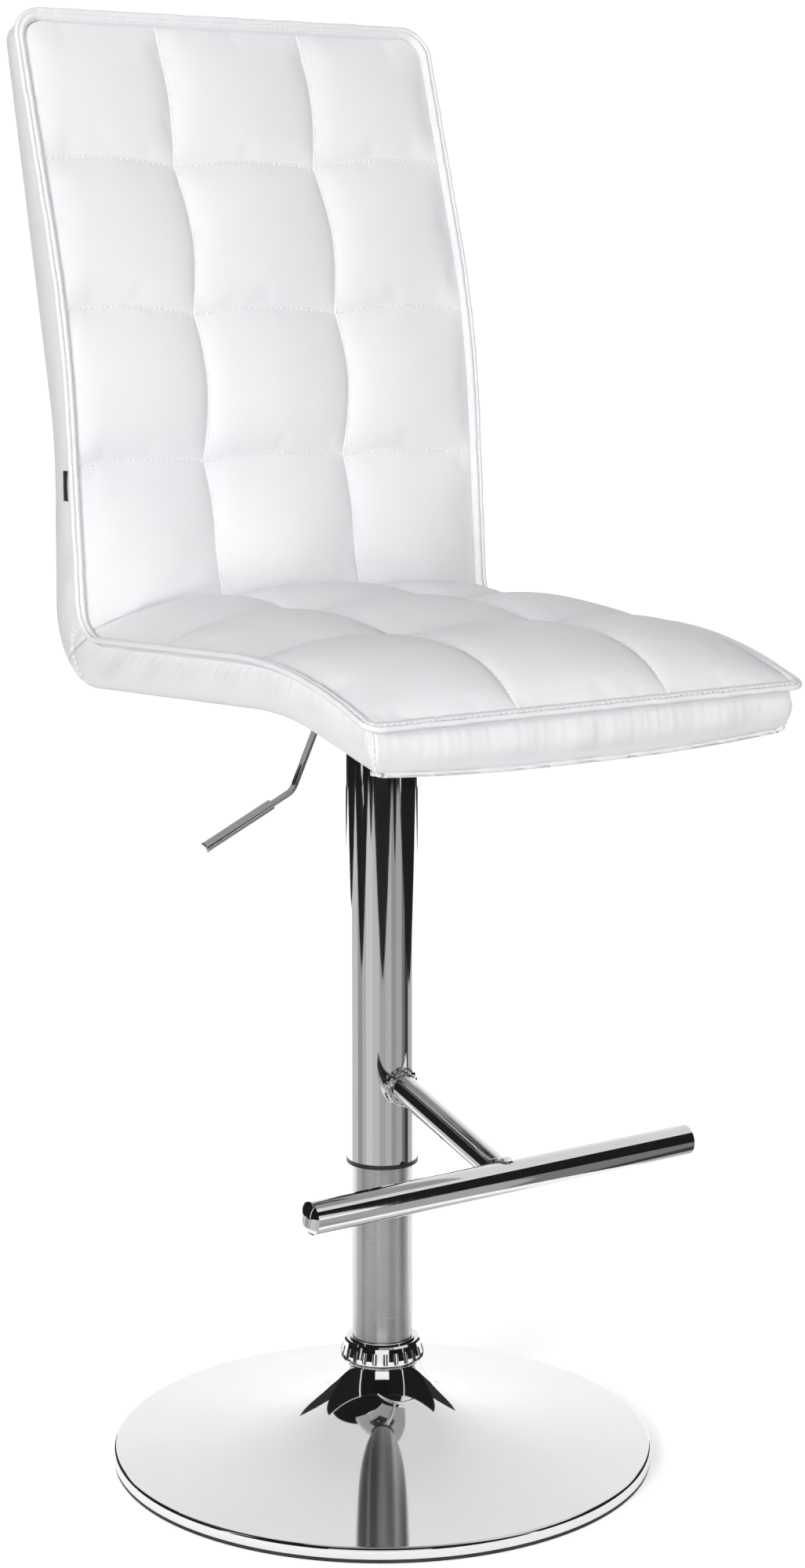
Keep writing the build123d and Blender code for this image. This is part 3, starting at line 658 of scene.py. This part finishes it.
def panel_piece(name, first, last, *replaced, fill):
    """One quilted panel, from one row of the sewn sheet to another, with sharp sewn seams."""
    part = sheet[first : last + 1]
    count = last + 1 - first
    obj = mesh_object(name, part, upright(grid_faces(count, cols)))
    crease = obj.data.attributes.new("crease_edge", "FLOAT", "EDGE")
    values = np.zeros(len(obj.data.edges))
    for k, edge in enumerate(obj.data.edges):
        (i, j), (p, q) = (divmod(v, cols) for v in edge.vertices)
        along_row = i == p and is_row_seam[i + first]
        along_column = j == q and is_col_seam[j]
        values[k] = SEAM_CREASE if along_row or along_column else 0.0
    crease.data.foreach_set("value", values)
    smooth = obj.modifiers.new("smooth", "SUBSURF")
    smooth.levels = smooth.render_levels = 1
    settle(obj)
    thicken(obj, PANEL_THICKNESS)
    return finish_piece(obj, "white_leatherette", *replaced, fill=fill)


panel_piece("quilted_back", 0, split_row, "quilted_back_panel", "back_foam", fill=0.8)
panel_piece("quilted_seat", split_row, rows - 1, "quilted_seat_panel", "seat_foam", fill=0.85)


# ------------ border welt
CORNER_STEPS = 16


def rounded_loop(step=3.0):
    """Stations (u, s) and outward directions round the seat's edge, from the front's middle."""
    w, length = HALF_WIDTH, front.length
    corners = [
        (-w + FRONT_CORNER, length - FRONT_CORNER, FRONT_CORNER, 90),
        (-w + TOP_CORNER, TOP_CORNER, TOP_CORNER, 180),
        (w - TOP_CORNER, TOP_CORNER, TOP_CORNER, 270),
        (w - FRONT_CORNER, length - FRONT_CORNER, FRONT_CORNER, 360),
    ]
    points, normals = [(0.0, length)], [(0.0, 1.0)]
    for u, s, radius, angle in corners:
        for k in range(CORNER_STEPS + 1):
            turn = math.radians(angle + 90 * k / CORNER_STEPS)
            nu, ns = math.cos(turn), math.sin(turn)
            corner_point = np.array((u + radius * nu, s + radius * ns))
            last = np.array(points[-1])
            run = np.linalg.norm(corner_point - last)
            count = max(1, round(run / step))
            for i in range(1, count + 1):
                points.append(tuple(last + (corner_point - last) * i / count))
                normals.append((nu, ns) if k or i == count else tuple(normals[-1]))
    last, final = np.array(points[-1]), np.array(points[0])
    count = max(1, round(np.linalg.norm(final - last) / step))
    for i in range(1, count):
        points.append(tuple(last + (final - last) * i / count))
        normals.append((0.0, 1.0))
    return np.array(points), np.array(normals)


loop, loop_normal = rounded_loop()
stations = len(loop)
loop_run = run_of(loop)
on_side = np.abs(loop_normal[:, 0]) > 0.9
near_junction = np.exp(-(((loop[:, 1] - junction) / 22.0) ** 2))
near_top_left = np.exp(-(((loop[:, 1] - 60) / 70.0) ** 2)) * (loop[:, 0] < -150)


def edge_place(inset, below):
    """Points at a distance in from the seat's edge and below the welt's face, for every station."""
    inset = np.asarray(inset, float)
    u = loop[:, 0] - loop_normal[:, 0] * inset
    s = loop[:, 1] - loop_normal[:, 1] * inset
    return front.place(u, s, below)


# The welt's section, as (distance in from the seat's edge, distance below the welt's face).
WELT_PROFILE = [
    (12.5, 13.4), (11.2, 9.0), (10.7, 7.0), (10.1, 4.8), (9.3, 2.7), (8.5, 1.5), (7.4, 0.8),
    (6.2, 0.6), (5.3, 0.9), (4.7, 1.9), (4.1, 2.0), (3.6, 1.1), (2.7, 0.4), (1.6, 0.5),
    (0.7, 1.2), (0.2, 2.3), (0.3, 3.5), (1.1, 4.5), (2.6, 5.0), (5.0, 5.2), (8.0, 5.6),
    (10.6, 7.6), (12.0, 10.0), (12.9, 13.4),
]
pucker = wobble(loop_run, 3, 34.0)
kink = wobble(loop_run, 8, 17.0)
frontness = nearness_to_front(loop[:, 1])
crossing = sum(np.exp(-(((loop[:, 1] - s) / 1.8) ** 2)) for s in row_stops[1:-1]) * on_side
rings = []
for inset, below in WELT_PROFILE:
    face = below < 7.1 and inset > 5
    soft = 0.4 * pucker + 1.0 * kink * near_top_left + 1.5 * near_junction * kink
    sink = below * (1 - FRONT_FLATTENING * frontness) if face else below
    edge = 0.45 * wobble(loop_run, 5, 60.0) * (inset < 5)
    lift = math.exp(-(((inset - 6.0) / 4.5) ** 2)) if below < 7.1 else 0.0
    rings.append(edge_place(inset + edge, sink + lift * (soft - 0.4 + 0.7 * crossing)))
welt = mesh_object("border_welt", np.array(rings), grid_faces(len(rings), stations, True, True))
weld_seams(welt)
finish_piece(welt, "white_leatherette", "seat_welt", "back_welt", fill=0.9)

# ------------ boxing round the seat, and the rear cover
BOX_INSET = 11.6
BOX_TOP = 8.3
ROUNDING = 9.0
rear_junction = rear.find(1, 671.0, 300.0) + 12
END_KEEP = 45.0


def rear_run(s):
    """The distance along the rear outline that faces a distance along the front one."""
    first, last = BOX_INSET, front.length - BOX_INSET
    return np.interp(
        s,
        [first, first + END_KEEP, junction, last - END_KEEP, last],
        [0, END_KEEP, rear_junction, rear.length - END_KEEP, rear.length],
    )


box_u = loop[:, 0] - loop_normal[:, 0] * BOX_INSET
box_s = loop[:, 1] - loop_normal[:, 1] * BOX_INSET
box_r = rear_run(box_s)
upper = front.place(box_u, box_s, BOX_TOP)
lower = rear.place(box_u, box_r, 0.0)
out_upper = front.outward(loop_normal[:, 0], loop_normal[:, 1], box_s)
out_lower = rear.outward(loop_normal[:, 0], loop_normal[:, 1], box_r)
drop = lower - upper
height = np.linalg.norm(drop, axis=1) / MM
drop_unit = drop / np.linalg.norm(drop, axis=1)[:, None]
gather = wobble(loop_run, 11, 15.0)
fold = wobble(loop_run, 12, 90.0)
FRONT_SAG = 6.5
SAG_HALF_WIDTH = 185.0
# The boxing's rings down its wall, as shares of its height, then round its lower edge.
WALL_SHARES = np.r_[0, np.linspace(0.03, 1, 20)]
EDGE_ANGLES = [18, 36, 54, 72, 90]


def sag(u):
    """How far the front's lower edge hangs below a straight line."""
    return FRONT_SAG * np.clip(1 - np.abs(np.asarray(u) / SAG_HALF_WIDTH) ** 2.5, 0, 1)


front_sag = sag(box_u) * (loop_normal[:, 1] > 0.5)


def side_seam(share):
    """How strongly each station belongs to the curved side seam, at a share of the height."""
    middle = junction - 12.0 * math.sin(math.pi * share) ** 0.8 + 26.0 * share**2
    return np.exp(-(((box_s - middle) / 2.0) ** 2)) * on_side


wall = []
for share in WALL_SHARES:
    down = share * (height - ROUNDING)
    out = (1 - share) * 1.0 + 3.2 * math.sin(math.pi * min(1.0, share * 0.96)) ** 0.8
    out = out + gather * 1.2 * np.exp(-down / 14.0) * ramp(down, 0, 2)
    out = out + fold * 1.3 * math.sin(math.pi * share) - 1.8 * side_seam(share)
    facing = out_upper * (1 - share) + out_lower * share
    facing /= np.linalg.norm(facing, axis=1)[:, None]
    out = out + 0.35 * front_sag * math.sin(math.pi * share)
    place = upper + drop_unit * down[:, None] * MM + facing * np.asarray(out)[:, None] * MM
    place[:, 2] -= front_sag * share**1.4 * MM
    wall.append(place)
for angle in np.radians(EDGE_ANGLES):
    turn = math.sin(angle) * ROUNDING
    back = ROUNDING * (1 - math.cos(angle))
    point = upper + drop_unit * ((height - ROUNDING + turn) * MM)[:, None] - out_lower * back * MM
    point -= out_lower * (1.2 * side_seam(1.0))[:, None] * MM
    point[:, 2] -= front_sag * MM
    wall.append(point)
wall = np.array(wall)


def loop_arc(chosen):
    """The run of neighbouring stations that are chosen, as indices in order round the loop."""
    start = next(k for k in range(stations) if chosen[k] and not chosen[k - 1])
    run = [start]
    while chosen[(run[-1] + 1) % stations]:
        run.append((run[-1] + 1) % stations)
    return [(start - 1) % stations, *run]


is_top = loop_normal[:, 1] < -0.5
is_front = loop_normal[:, 1] > 0.5
is_back = box_s < junction
BANDS = {
    "top_boxing": (is_top, "top_band"),
    "front_boxing": (is_front, "front_band"),
    "back_boxing_left": (~is_top & ~is_front & is_back & (box_u > 0), "back_side_left"),
    "back_boxing_right": (~is_top & ~is_front & is_back & (box_u < 0), "back_side_right"),
    "seat_boxing_left": (~is_top & ~is_front & ~is_back & (box_u > 0), "seat_side_left"),
    "seat_boxing_right": (~is_top & ~is_front & ~is_back & (box_u < 0), "seat_side_right"),
}
for name, (chosen, node) in BANDS.items():
    arc = loop_arc(chosen)
    band = mesh_object(name, wall[:, arc], grid_faces(len(wall), len(arc)))
    thicken(band, COVER_THICKNESS)
    finish_piece(band, "white_leatherette", node, fill=0.7)

inner_u = box_u - loop_normal[:, 0] * ROUNDING
inner_r = box_r - loop_normal[:, 1] * ROUNDING


def rear_piece(name, starts, ends, edge, node):
    """A rear cover as rows across the seat, from the junction to the edge at its far end."""
    rings = []
    shares = np.linspace(0, 1, len(edge))
    for k, n in zip(starts, ends):
        u = inner_u[k] + (inner_u[n] - inner_u[k]) * shares
        r = np.full(len(edge), (inner_r[k] + inner_r[n]) / 2)
        run = min(r[0], rear.length - r[0])
        crown = 2.2 * np.sin(math.pi * shares) ** 0.7 * ramp(run, 18, 90)
        crown = crown * (1 - ramp(r, rear_junction - 120, rear_junction - 20))
        ring = rear.place(u, r, -crown)
        ring[:, 2] -= sag(u) * ramp(r, rear.length - 75, rear.length - 9) * MM
        ring[0], ring[-1] = wall[-1][k], wall[-1][n]
        rings.append(ring)
    rings[-1] = wall[-1][edge]
    obj = mesh_object(name, np.array(rings), upright(grid_faces(len(rings), len(edge))))
    thicken(obj, COVER_THICKNESS)
    return finish_piece(obj, "white_leatherette", node, fill=0.6)


back_run = np.where(is_back)[0]
first_back, last_back = int(back_run[0]), int(back_run[-1])
top_run = np.where(loop_normal[:, 1] < -0.9999)[0]
front_run = np.where(loop_normal[:, 1] > 0.9999)[0]
front_left = int(front_run[front_run > last_back][0])
front_right = int(front_run[front_run < first_back][-1])
rear_piece(
    "back_rear_cover",
    range(first_back, int(top_run[0]) + 1),
    range(last_back, int(top_run[-1]) - 1, -1),
    list(range(int(top_run[0]), int(top_run[-1]) + 1)),
    "back_cover",
)
rear_piece(
    "seat_under_cover",
    range(last_back, front_left + 1),
    range(first_back, front_right - 1, -1),
    [*range(front_left, stations), *range(front_right + 1)],
    "seat_cover",
)


# ------------ stitches
STITCH_SIDES = 6
# A stitch's rings: the share of its length where each one is, and its relative thickness.
STITCH_AT = np.array([0.0, 0.12, 0.5, 0.88, 1.0])
STITCH_SIZE = np.array([0.35, 0.85, 1.0, 0.85, 0.35])
STITCH_RAISE = 0.25


def stitches(name, runs, length=3.6, gap=1.5, thick=1.15, high=0.8):
    """Raised thread stitches along runs of (points, normals), all as one piece."""
    ring_angles = np.radians(np.arange(STITCH_SIDES) * 360 / STITCH_SIDES)
    vertices, faces = [], []
    for points, normals in runs:
        steps = run_of(points) / MM
        pitch = length + gap
        for start in np.arange(gap / 2, steps[-1] - length, pitch):
            at = start + length * STITCH_AT
            centre = sampled(at, steps, points)
            up = sampled(start + length / 2, steps, normals)
            up /= np.linalg.norm(up)
            along = centre[-1] - centre[0]
            along /= np.linalg.norm(along)
            across = np.cross(along, up)
            base = len(vertices)
            for c, r in zip(centre, STITCH_SIZE):
                for angle in ring_angles:
                    sideways = across * math.cos(angle) * thick / 2 * r
                    upwards = up * (math.sin(angle) * high * r - 0.25 * (1 - r))
                    vertices.append(c + (sideways + upwards) * MM)
            faces += grid_faces(len(STITCH_AT), STITCH_SIDES, wrap_columns=True, start=base)
            faces.append(tuple(base + k for k in range(STITCH_SIDES))[::-1])
            faces.append(tuple(len(vertices) - STITCH_SIDES + k for k in range(STITCH_SIDES)))
    obj = weld_seams(mesh_object(name, vertices, faces), 0.001)
    return finish_piece(obj, "white_leatherette", material=THREAD)


across, downward = np.gradient(sheet, axis=1), np.gradient(sheet, axis=0)
facing = np.cross(downward, across)
facing /= np.linalg.norm(facing, axis=2)[:, :, None]
runs = []
for i in np.where(is_row_seam)[0][1:-1]:
    beside = i - 1 if i == split_row else i + 1
    line = sheet[i] * 0.6 + sheet[beside] * 0.4
    runs.append((line + facing[beside] * STITCH_RAISE * MM, facing[beside]))
for j in np.where(is_col_seam)[0][1:-1]:
    line = sheet[:, j] * 0.6 + sheet[:, j + 1] * 0.4
    for part in (slice(0, split_row), slice(split_row + 1, rows)):
        runs.append((line[part] + facing[part, j + 1] * STITCH_RAISE * MM, facing[part, j + 1]))
stitches("quilting_stitches", runs)


def welt_row(inset, below, lean):
    """A line of stitches round the welt, with directions that lean inwards from its face."""
    closed = np.r_[np.arange(stations), 0]
    depth = below * (1 - FRONT_FLATTENING * frontness)
    points = edge_place(inset, depth)
    up = edge_place(inset + lean, depth - 1) - points
    return points[closed], (up / np.linalg.norm(up, axis=1)[:, None])[closed]


def wall_run(indices, first=1, last=None):
    """A line down the boxing through one station for each of its rings, with outward directions."""
    picked = range(first, last or len(wall))
    points = np.array([wall[k, indices[k]] for k in picked])
    normals = np.array([out_lower[indices[k]] for k in picked])
    return points + normals * 0.3 * MM, normals


boxing_runs = []
for side in (-1, 1):
    corner_middle = int(np.argmin(np.linalg.norm(loop - (side * HALF_WIDTH, front.length), axis=1)))
    for shift in (-2, 1):
        boxing_runs.append(wall_run([(corner_middle + shift) % stations] * len(wall)))
    shares = np.r_[WALL_SHARES, np.ones(len(EDGE_ANGLES))]
    facing_side = on_side & (loop_normal[:, 0] * side > 0)
    picks = [int(np.argmax(np.where(facing_side, side_seam(share), -1))) for share in shares]
    boxing_runs.append(wall_run([k + 1 for k in picks], 2, 24))
stitches("boxing_stitches", boxing_runs)
stitches("welt_stitches", [welt_row(9.4, 2.9, 1.2), welt_row(4.4, 1.75, 0.0)])

# ------------ tag, folded from ribbon
low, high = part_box("label_tag")
TAG_ROWS = 9
tag_middle = (low.y + high.y) / 2
profile = [
    (low.x + 0.0012, high.y),
    (low.x + 0.0003, high.y - 0.001),
    (low.x, tag_middle),
    (low.x + 0.0001, low.y + 0.001),
    (low.x + 0.0006, low.y),
    (low.x + 0.0011, low.y + 0.0008),
    (low.x + 0.0012, tag_middle),
]
tag_points = []
for k in range(TAG_ROWS):
    share = k / (TAG_ROWS - 1)
    z = low.z + share * (high.z - low.z)
    lean = 0.0006 * math.sin(math.pi * share)
    tag_points.append([(x - lean * (1 - (y - low.y) / (high.y - low.y)), y, z) for x, y in profile])
tag_faces = grid_faces(TAG_ROWS, len(profile), wrap_columns=True)
tag_faces.append(tuple(range(len(profile)))[::-1])
tag_faces.append(tuple((TAG_ROWS - 1) * len(profile) + k for k in range(len(profile))))
tag = weld_seams(mesh_object("folded_tag", np.array(tag_points), tag_faces), 0.001)
finish_piece(tag, "tag_ribbon", "label_tag")


# ------------ weld beads
BEAD_VOXEL = 0.7
BEAD_NOISE = (230, 520)
BEAD_RELIEF = 0.9


def lumpy_bead(name, node_name):
    """A plated weld bead with the ripples of hand welding, in place of the smooth one."""
    source = frame["nodes"][node_name]
    mesh = source.data.copy()
    mesh.transform(source.matrix_world)
    obj = bpy.data.objects.new(name, mesh)
    bpy.context.scene.collection.objects.link(obj)
    remesh = obj.modifiers.new("even", "REMESH")
    remesh.mode = "VOXEL"
    remesh.voxel_size = BEAD_VOXEL * MM
    remesh.use_smooth_shade = True
    settle(obj)
    points, normals = vertex_array(obj), vertex_array(obj, "normal")
    lumps = []
    for place in points:
        coarse, fine = (hill.noise(Vector(place) * scale) for scale in BEAD_NOISE)
        lumps.append(coarse + 0.6 * fine)
    points += normals * (np.array(lumps) * BEAD_RELIEF * MM)[:, None]
    obj.data.vertices.foreach_set("co", points.ravel())
    obj.data.update()
    return finish_piece(obj, "polished_chrome", node_name)


lumpy_bead("arm_weld_bead", "arm_weld")
lumpy_bead("bar_weld_bead", "bar_weld")

# ------------ the spun base, as one smooth lathe
NECK = (31.2, 81.0)
RIM = (224.8, 12.5)
RIM_ROUND = 3.0
RIM_BOTTOM = 3.3
SHEET = 1.5
# The flared line's two inner control points, as distances from the neck and the rim.
NECK_PULL = (9.0, 38.0)
RIM_PULL = (50.0, 13.0)
FLARE_POINTS = 90
LATHE_SIDES = 256


def flare(neck, rim):
    """The flared line from the neck to the rim, as (radius, height)."""
    near_neck = (neck[0] + NECK_PULL[0], neck[1] - NECK_PULL[1])
    near_rim = (neck[0] + RIM_PULL[0], rim[1] + RIM_PULL[1])
    t = np.linspace(0, 1, FLARE_POINTS)[:, None]
    weights = ((1 - t) ** 3, 3 * t * (1 - t) ** 2, 3 * t**2 * (1 - t), t**3)
    return sum(w * np.array(p) for w, p in zip(weights, (neck, near_neck, near_rim, rim)))


outer_line = flare(NECK, (RIM[0] - RIM_ROUND, RIM[1]))
inner_line = flare((NECK[0] - SHEET, NECK[1]), (RIM[0] - SHEET - RIM_ROUND, RIM[1] - SHEET))
rim_turn = np.radians(np.linspace(80, 0, 9))
roll = np.stack([np.cos(rim_turn), np.sin(rim_turn)], 1) * RIM_ROUND
outer_roll = roll + (RIM[0] - RIM_ROUND, RIM[1] - RIM_ROUND)
lip = [(RIM[0], RIM_BOTTOM), (RIM[0] - SHEET, RIM_BOTTOM)]
inner_roll = (outer_roll - (SHEET, SHEET))[::-1]
shell_line = np.vstack([outer_line, outer_roll, lip, inner_roll, inner_line[::-1]])
turns = np.linspace(0, 2 * math.pi, LATHE_SIDES + 1)[:-1]
shell_points = [[(r * math.cos(t), r * math.sin(t), z) for t in turns] for r, z in shell_line]
shell_faces = grid_faces(len(shell_line), LATHE_SIDES, True, True)
spun_shell = mesh_object("spun_shell", np.array(shell_points) * MM, shell_faces)
weld_seams(spun_shell, 0.001)
spun_shell.data.set_sharp_from_angle(angle=math.radians(40))
finish_piece(spun_shell, "polished_chrome", "base_shell", body="base")

# ------------ finishes of the CAD nodes
for name, node in frame["nodes"].items():
    node.data.materials.clear()
    node.data.materials.append(MATERIALS[node_slots[name]])


# ------------ studio, in metres
FLOOR_RADIUS = 9.0
SKY_RADIUS = 9.2
SKY_RINGS = 14
SKY_SIDES = 48
CARD_RADIUS = 3.3
# The camera's azimuth, which the cards are placed from.
VIEW = -34.2


def stage_mesh(name, vertices, faces, material):
    obj = mesh_object(name, vertices, faces)
    obj.data.materials.append(material)
    return obj


def studio_material(name, colour, near_glow, far_glow=None):
    """A matt studio surface that glows a little, and more away from the stool with far_glow. The
    glow is painted light, and where it is weaker near the stool it is painted shade.
    """
    material, nodes, links, shader = new_material(name)
    vector = coordinates(nodes, links)
    grain = noise(nodes, links, vector, 60.0)
    paint(nodes, links, shader, grain, (colour * 0.99,) * 3, (colour,) * 3)
    shader.inputs["Roughness"].default_value = 0.9
    shader.inputs["Specular IOR Level"].default_value = 0.1
    shader.inputs["Emission Color"].default_value = (1, 1, 1, 1)
    shader.inputs["Emission Strength"].default_value = near_glow
    if far_glow is not None:
        reach = nodes.new("ShaderNodeVectorMath")
        reach.operation = "LENGTH"
        links.new(vector, reach.inputs[0])
        glow = mapped(nodes, links, reach.outputs["Value"], near_glow, far_glow, 0.3, 2.2)
        links.new(glow, shader.inputs["Emission Strength"])
    return material


def sky_material():
    """The white surround, a little greyer overhead."""
    material, nodes, links, shader = new_material("backdrop")
    split = nodes.new("ShaderNodeSeparateXYZ")
    links.new(coordinates(nodes, links), split.inputs["Vector"])
    glow = mapped(nodes, links, split.outputs["Z"], 1.12, 0.78, 1.4, 7.0)
    links.new(glow, shader.inputs["Emission Strength"])
    shader.inputs["Base Color"].default_value = (0, 0, 0, 1)
    shader.inputs["Specular IOR Level"].default_value = 0.0
    shader.inputs["Emission Color"].default_value = (1, 1, 1, 1)
    return material


def disc(inner, outer, z, start=0.0, end=360.0, steps=96):
    """A flat ring or sector, by azimuth in degrees; 0 is -Y and 90 is +X."""
    angles = np.radians(np.linspace(start, end, steps))
    x, y, level = np.sin(angles), -np.cos(angles), np.full(steps, z)
    rims = [np.stack([r * x, r * y, level], 1) for r in (inner, outer)]
    return np.array(rims), grid_faces(2, steps)


def curtain(radius, bottom, top, start, end, steps=24):
    """An upright curved card round the stool."""
    angles = np.radians(np.linspace(start, end, steps))
    x, y = radius * np.sin(angles), -radius * np.cos(angles)
    edges = [np.stack([x, y, np.full(steps, z)], 1) for z in (bottom, top)]
    return np.array(edges), grid_faces(2, steps)


floor_points, floor_faces = disc(0.0, FLOOR_RADIUS, -0.0004)
# The floor's glow is painted light; its dimmer glow near the stool is painted shade round the base.
floor_finish = studio_material("studio_floor", 0.85, 0.55, 1.0)
floor = stage_mesh("studio_floor", floor_points, upright(floor_faces), floor_finish)
floor.visible_diffuse = False
sky_points = []
for tilt in np.linspace(-0.12, math.pi / 2, SKY_RINGS):
    ring, level = SKY_RADIUS * math.cos(tilt), SKY_RADIUS * math.sin(tilt)
    for turn in np.linspace(0, 2 * math.pi, SKY_SIDES + 1):
        sky_points.append((ring * math.cos(turn), ring * math.sin(turn), level))
sky_faces = grid_faces(SKY_RINGS, SKY_SIDES + 1)
backdrop = stage_mesh("backdrop", sky_points, sky_faces, sky_material())
backdrop.visible_diffuse = backdrop.visible_shadow = False


def card(name, shape, tone):
    """A dark or grey card that only shiny surfaces see."""
    obj = stage_mesh(name, *shape, studio_material(name, 0.0, tone))
    obj.visible_camera = obj.visible_diffuse = obj.visible_shadow = False


# Cards by azimuth from the camera's own: (start, end, bottom, top, tone).
CURTAINS = [
    (-136, -66, 0.0, 3.3, 0.012), (-66, -62, 0.0, 2.9, 0.8), (-62, -21, 0.0, 3.4, 0.008),
    (-21, 19, 1.15, 3.6, 0.006), (-21, 19, 0.0, 0.3, 0.02), (19, 60, 0.0, 3.4, 0.008),
    (60, 63, 0.55, 3.2, 0.75), (63, 132, 0.0, 3.2, 0.01), (132, 152, 0.0, 1.7, 0.03),
    (204, 224, 0.0, 1.7, 0.03),
]
for number, (start, end, bottom, top, tone) in enumerate(CURTAINS):
    card(f"curtain_{number}", curtain(CARD_RADIUS, bottom, top, VIEW + start, VIEW + end), tone)

# The floor on the camera's side, in greys: (start, end, tone).
FLOOR_TONES = [
    (-112, -84, 0.62), (-84, -66, 0.34), (-66, -52, 0.5), (-52, -30, 0.66), (-30, -8, 0.56),
    (-8, 12, 0.42), (12, 30, 0.5), (30, 46, 0.34), (46, 66, 0.42), (66, 80, 0.2),
    (80, 92, 0.05), (92, 112, 0.5),
]
for number, (start, end, tone) in enumerate(FLOOR_TONES):
    sector = disc(0.36, CARD_RADIUS, 0.0012, VIEW + start, VIEW + end, 12)
    card(f"floor_tone_{number}", sector, tone)
# Dark tongues that reach in from the curtains: (start, end, radius of the tip).
STREAKS = [
    (-178, -140, 2.6), (-136, -94, 2.2), (-92, -44, 1.8), (-40, -28, 2.8), (-26, 30, 1.75),
    (36, 48, 2.6), (58, 136, 1.7), (140, 176, 2.6),
]
STREAK_STEPS = 25
for number, (start, end, nearest) in enumerate(STREAKS):
    points, faces = disc(nearest, CARD_RADIUS, 0.0022, VIEW + start, VIEW + end, STREAK_STEPS)
    for k, share in enumerate(np.linspace(-1, 1, STREAK_STEPS)):
        taper = 1 + (3.25 / nearest - 1) * abs(share) ** 1.7
        points[0, k, :2] *= taper
    card(f"streak_{number}", (points, faces), 0.012)
overhead, overhead_faces = curtain(CARD_RADIUS, 3.4, 4.6, VIEW - 130, VIEW + 56)
overhead[1, :, :2] *= 0.4
card("overhead_flag", (overhead, overhead_faces), 0.01)

world = bpy.data.worlds.new("studio")
bpy.context.scene.world = world
world.use_nodes = True
sky, sky_links = world.node_tree.nodes, world.node_tree.links
background = sky["Background"]
direction = sky.new("ShaderNodeTexCoord")
split = sky.new("ShaderNodeSeparateXYZ")
shade = sky.new("ShaderNodeValToRGB")
sky_links.new(direction.outputs["Generated"], split.inputs["Vector"])
sky_links.new(split.outputs["Z"], shade.inputs["Fac"])
sky_links.new(shade.outputs["Color"], background.inputs["Color"])
shade.color_ramp.elements[0].position = 0.1
shade.color_ramp.elements[0].color = (0.4, 0.4, 0.405, 1)
shade.color_ramp.elements[1].position = 0.8
shade.color_ramp.elements[1].color = (0.16, 0.16, 0.172, 1)
background.inputs["Strength"].default_value = 1.0


def soft_light(name, place, target, size, power):
    data = bpy.data.lights.new(name, "AREA")
    data.shape = "RECTANGLE"
    data.size, data.size_y = size
    data.energy = power
    light = bpy.data.objects.new(name, data)
    light.location = place
    light.rotation_euler = (Vector(target) - Vector(place)).to_track_quat("-Z", "Y").to_euler()
    light.visible_glossy = False
    bpy.context.scene.collection.objects.link(light)


soft_light("key", (-2.8, -1.6, 1.45), (0, 0, 0.85), (0.9, 0.9), 56)
soft_light("front", (0.3, -3.0, 0.9), (0, 0, 0.8), (1.0, 1.0), 21)
soft_light("rear", (0.3, 3.0, 1.1), (0, 0, 0.9), (1.4, 1.2), 42)
soft_light("top", (-0.4, -0.6, 3.2), (0, -0.1, 0.8), (1.4, 1.4), 10)
soft_light("low", (-2.2, -2.2, 0.3), (0, 0, 0.65), (0.9, 0.5), 15)

bpy.context.scene.view_settings.view_transform = "Standard"
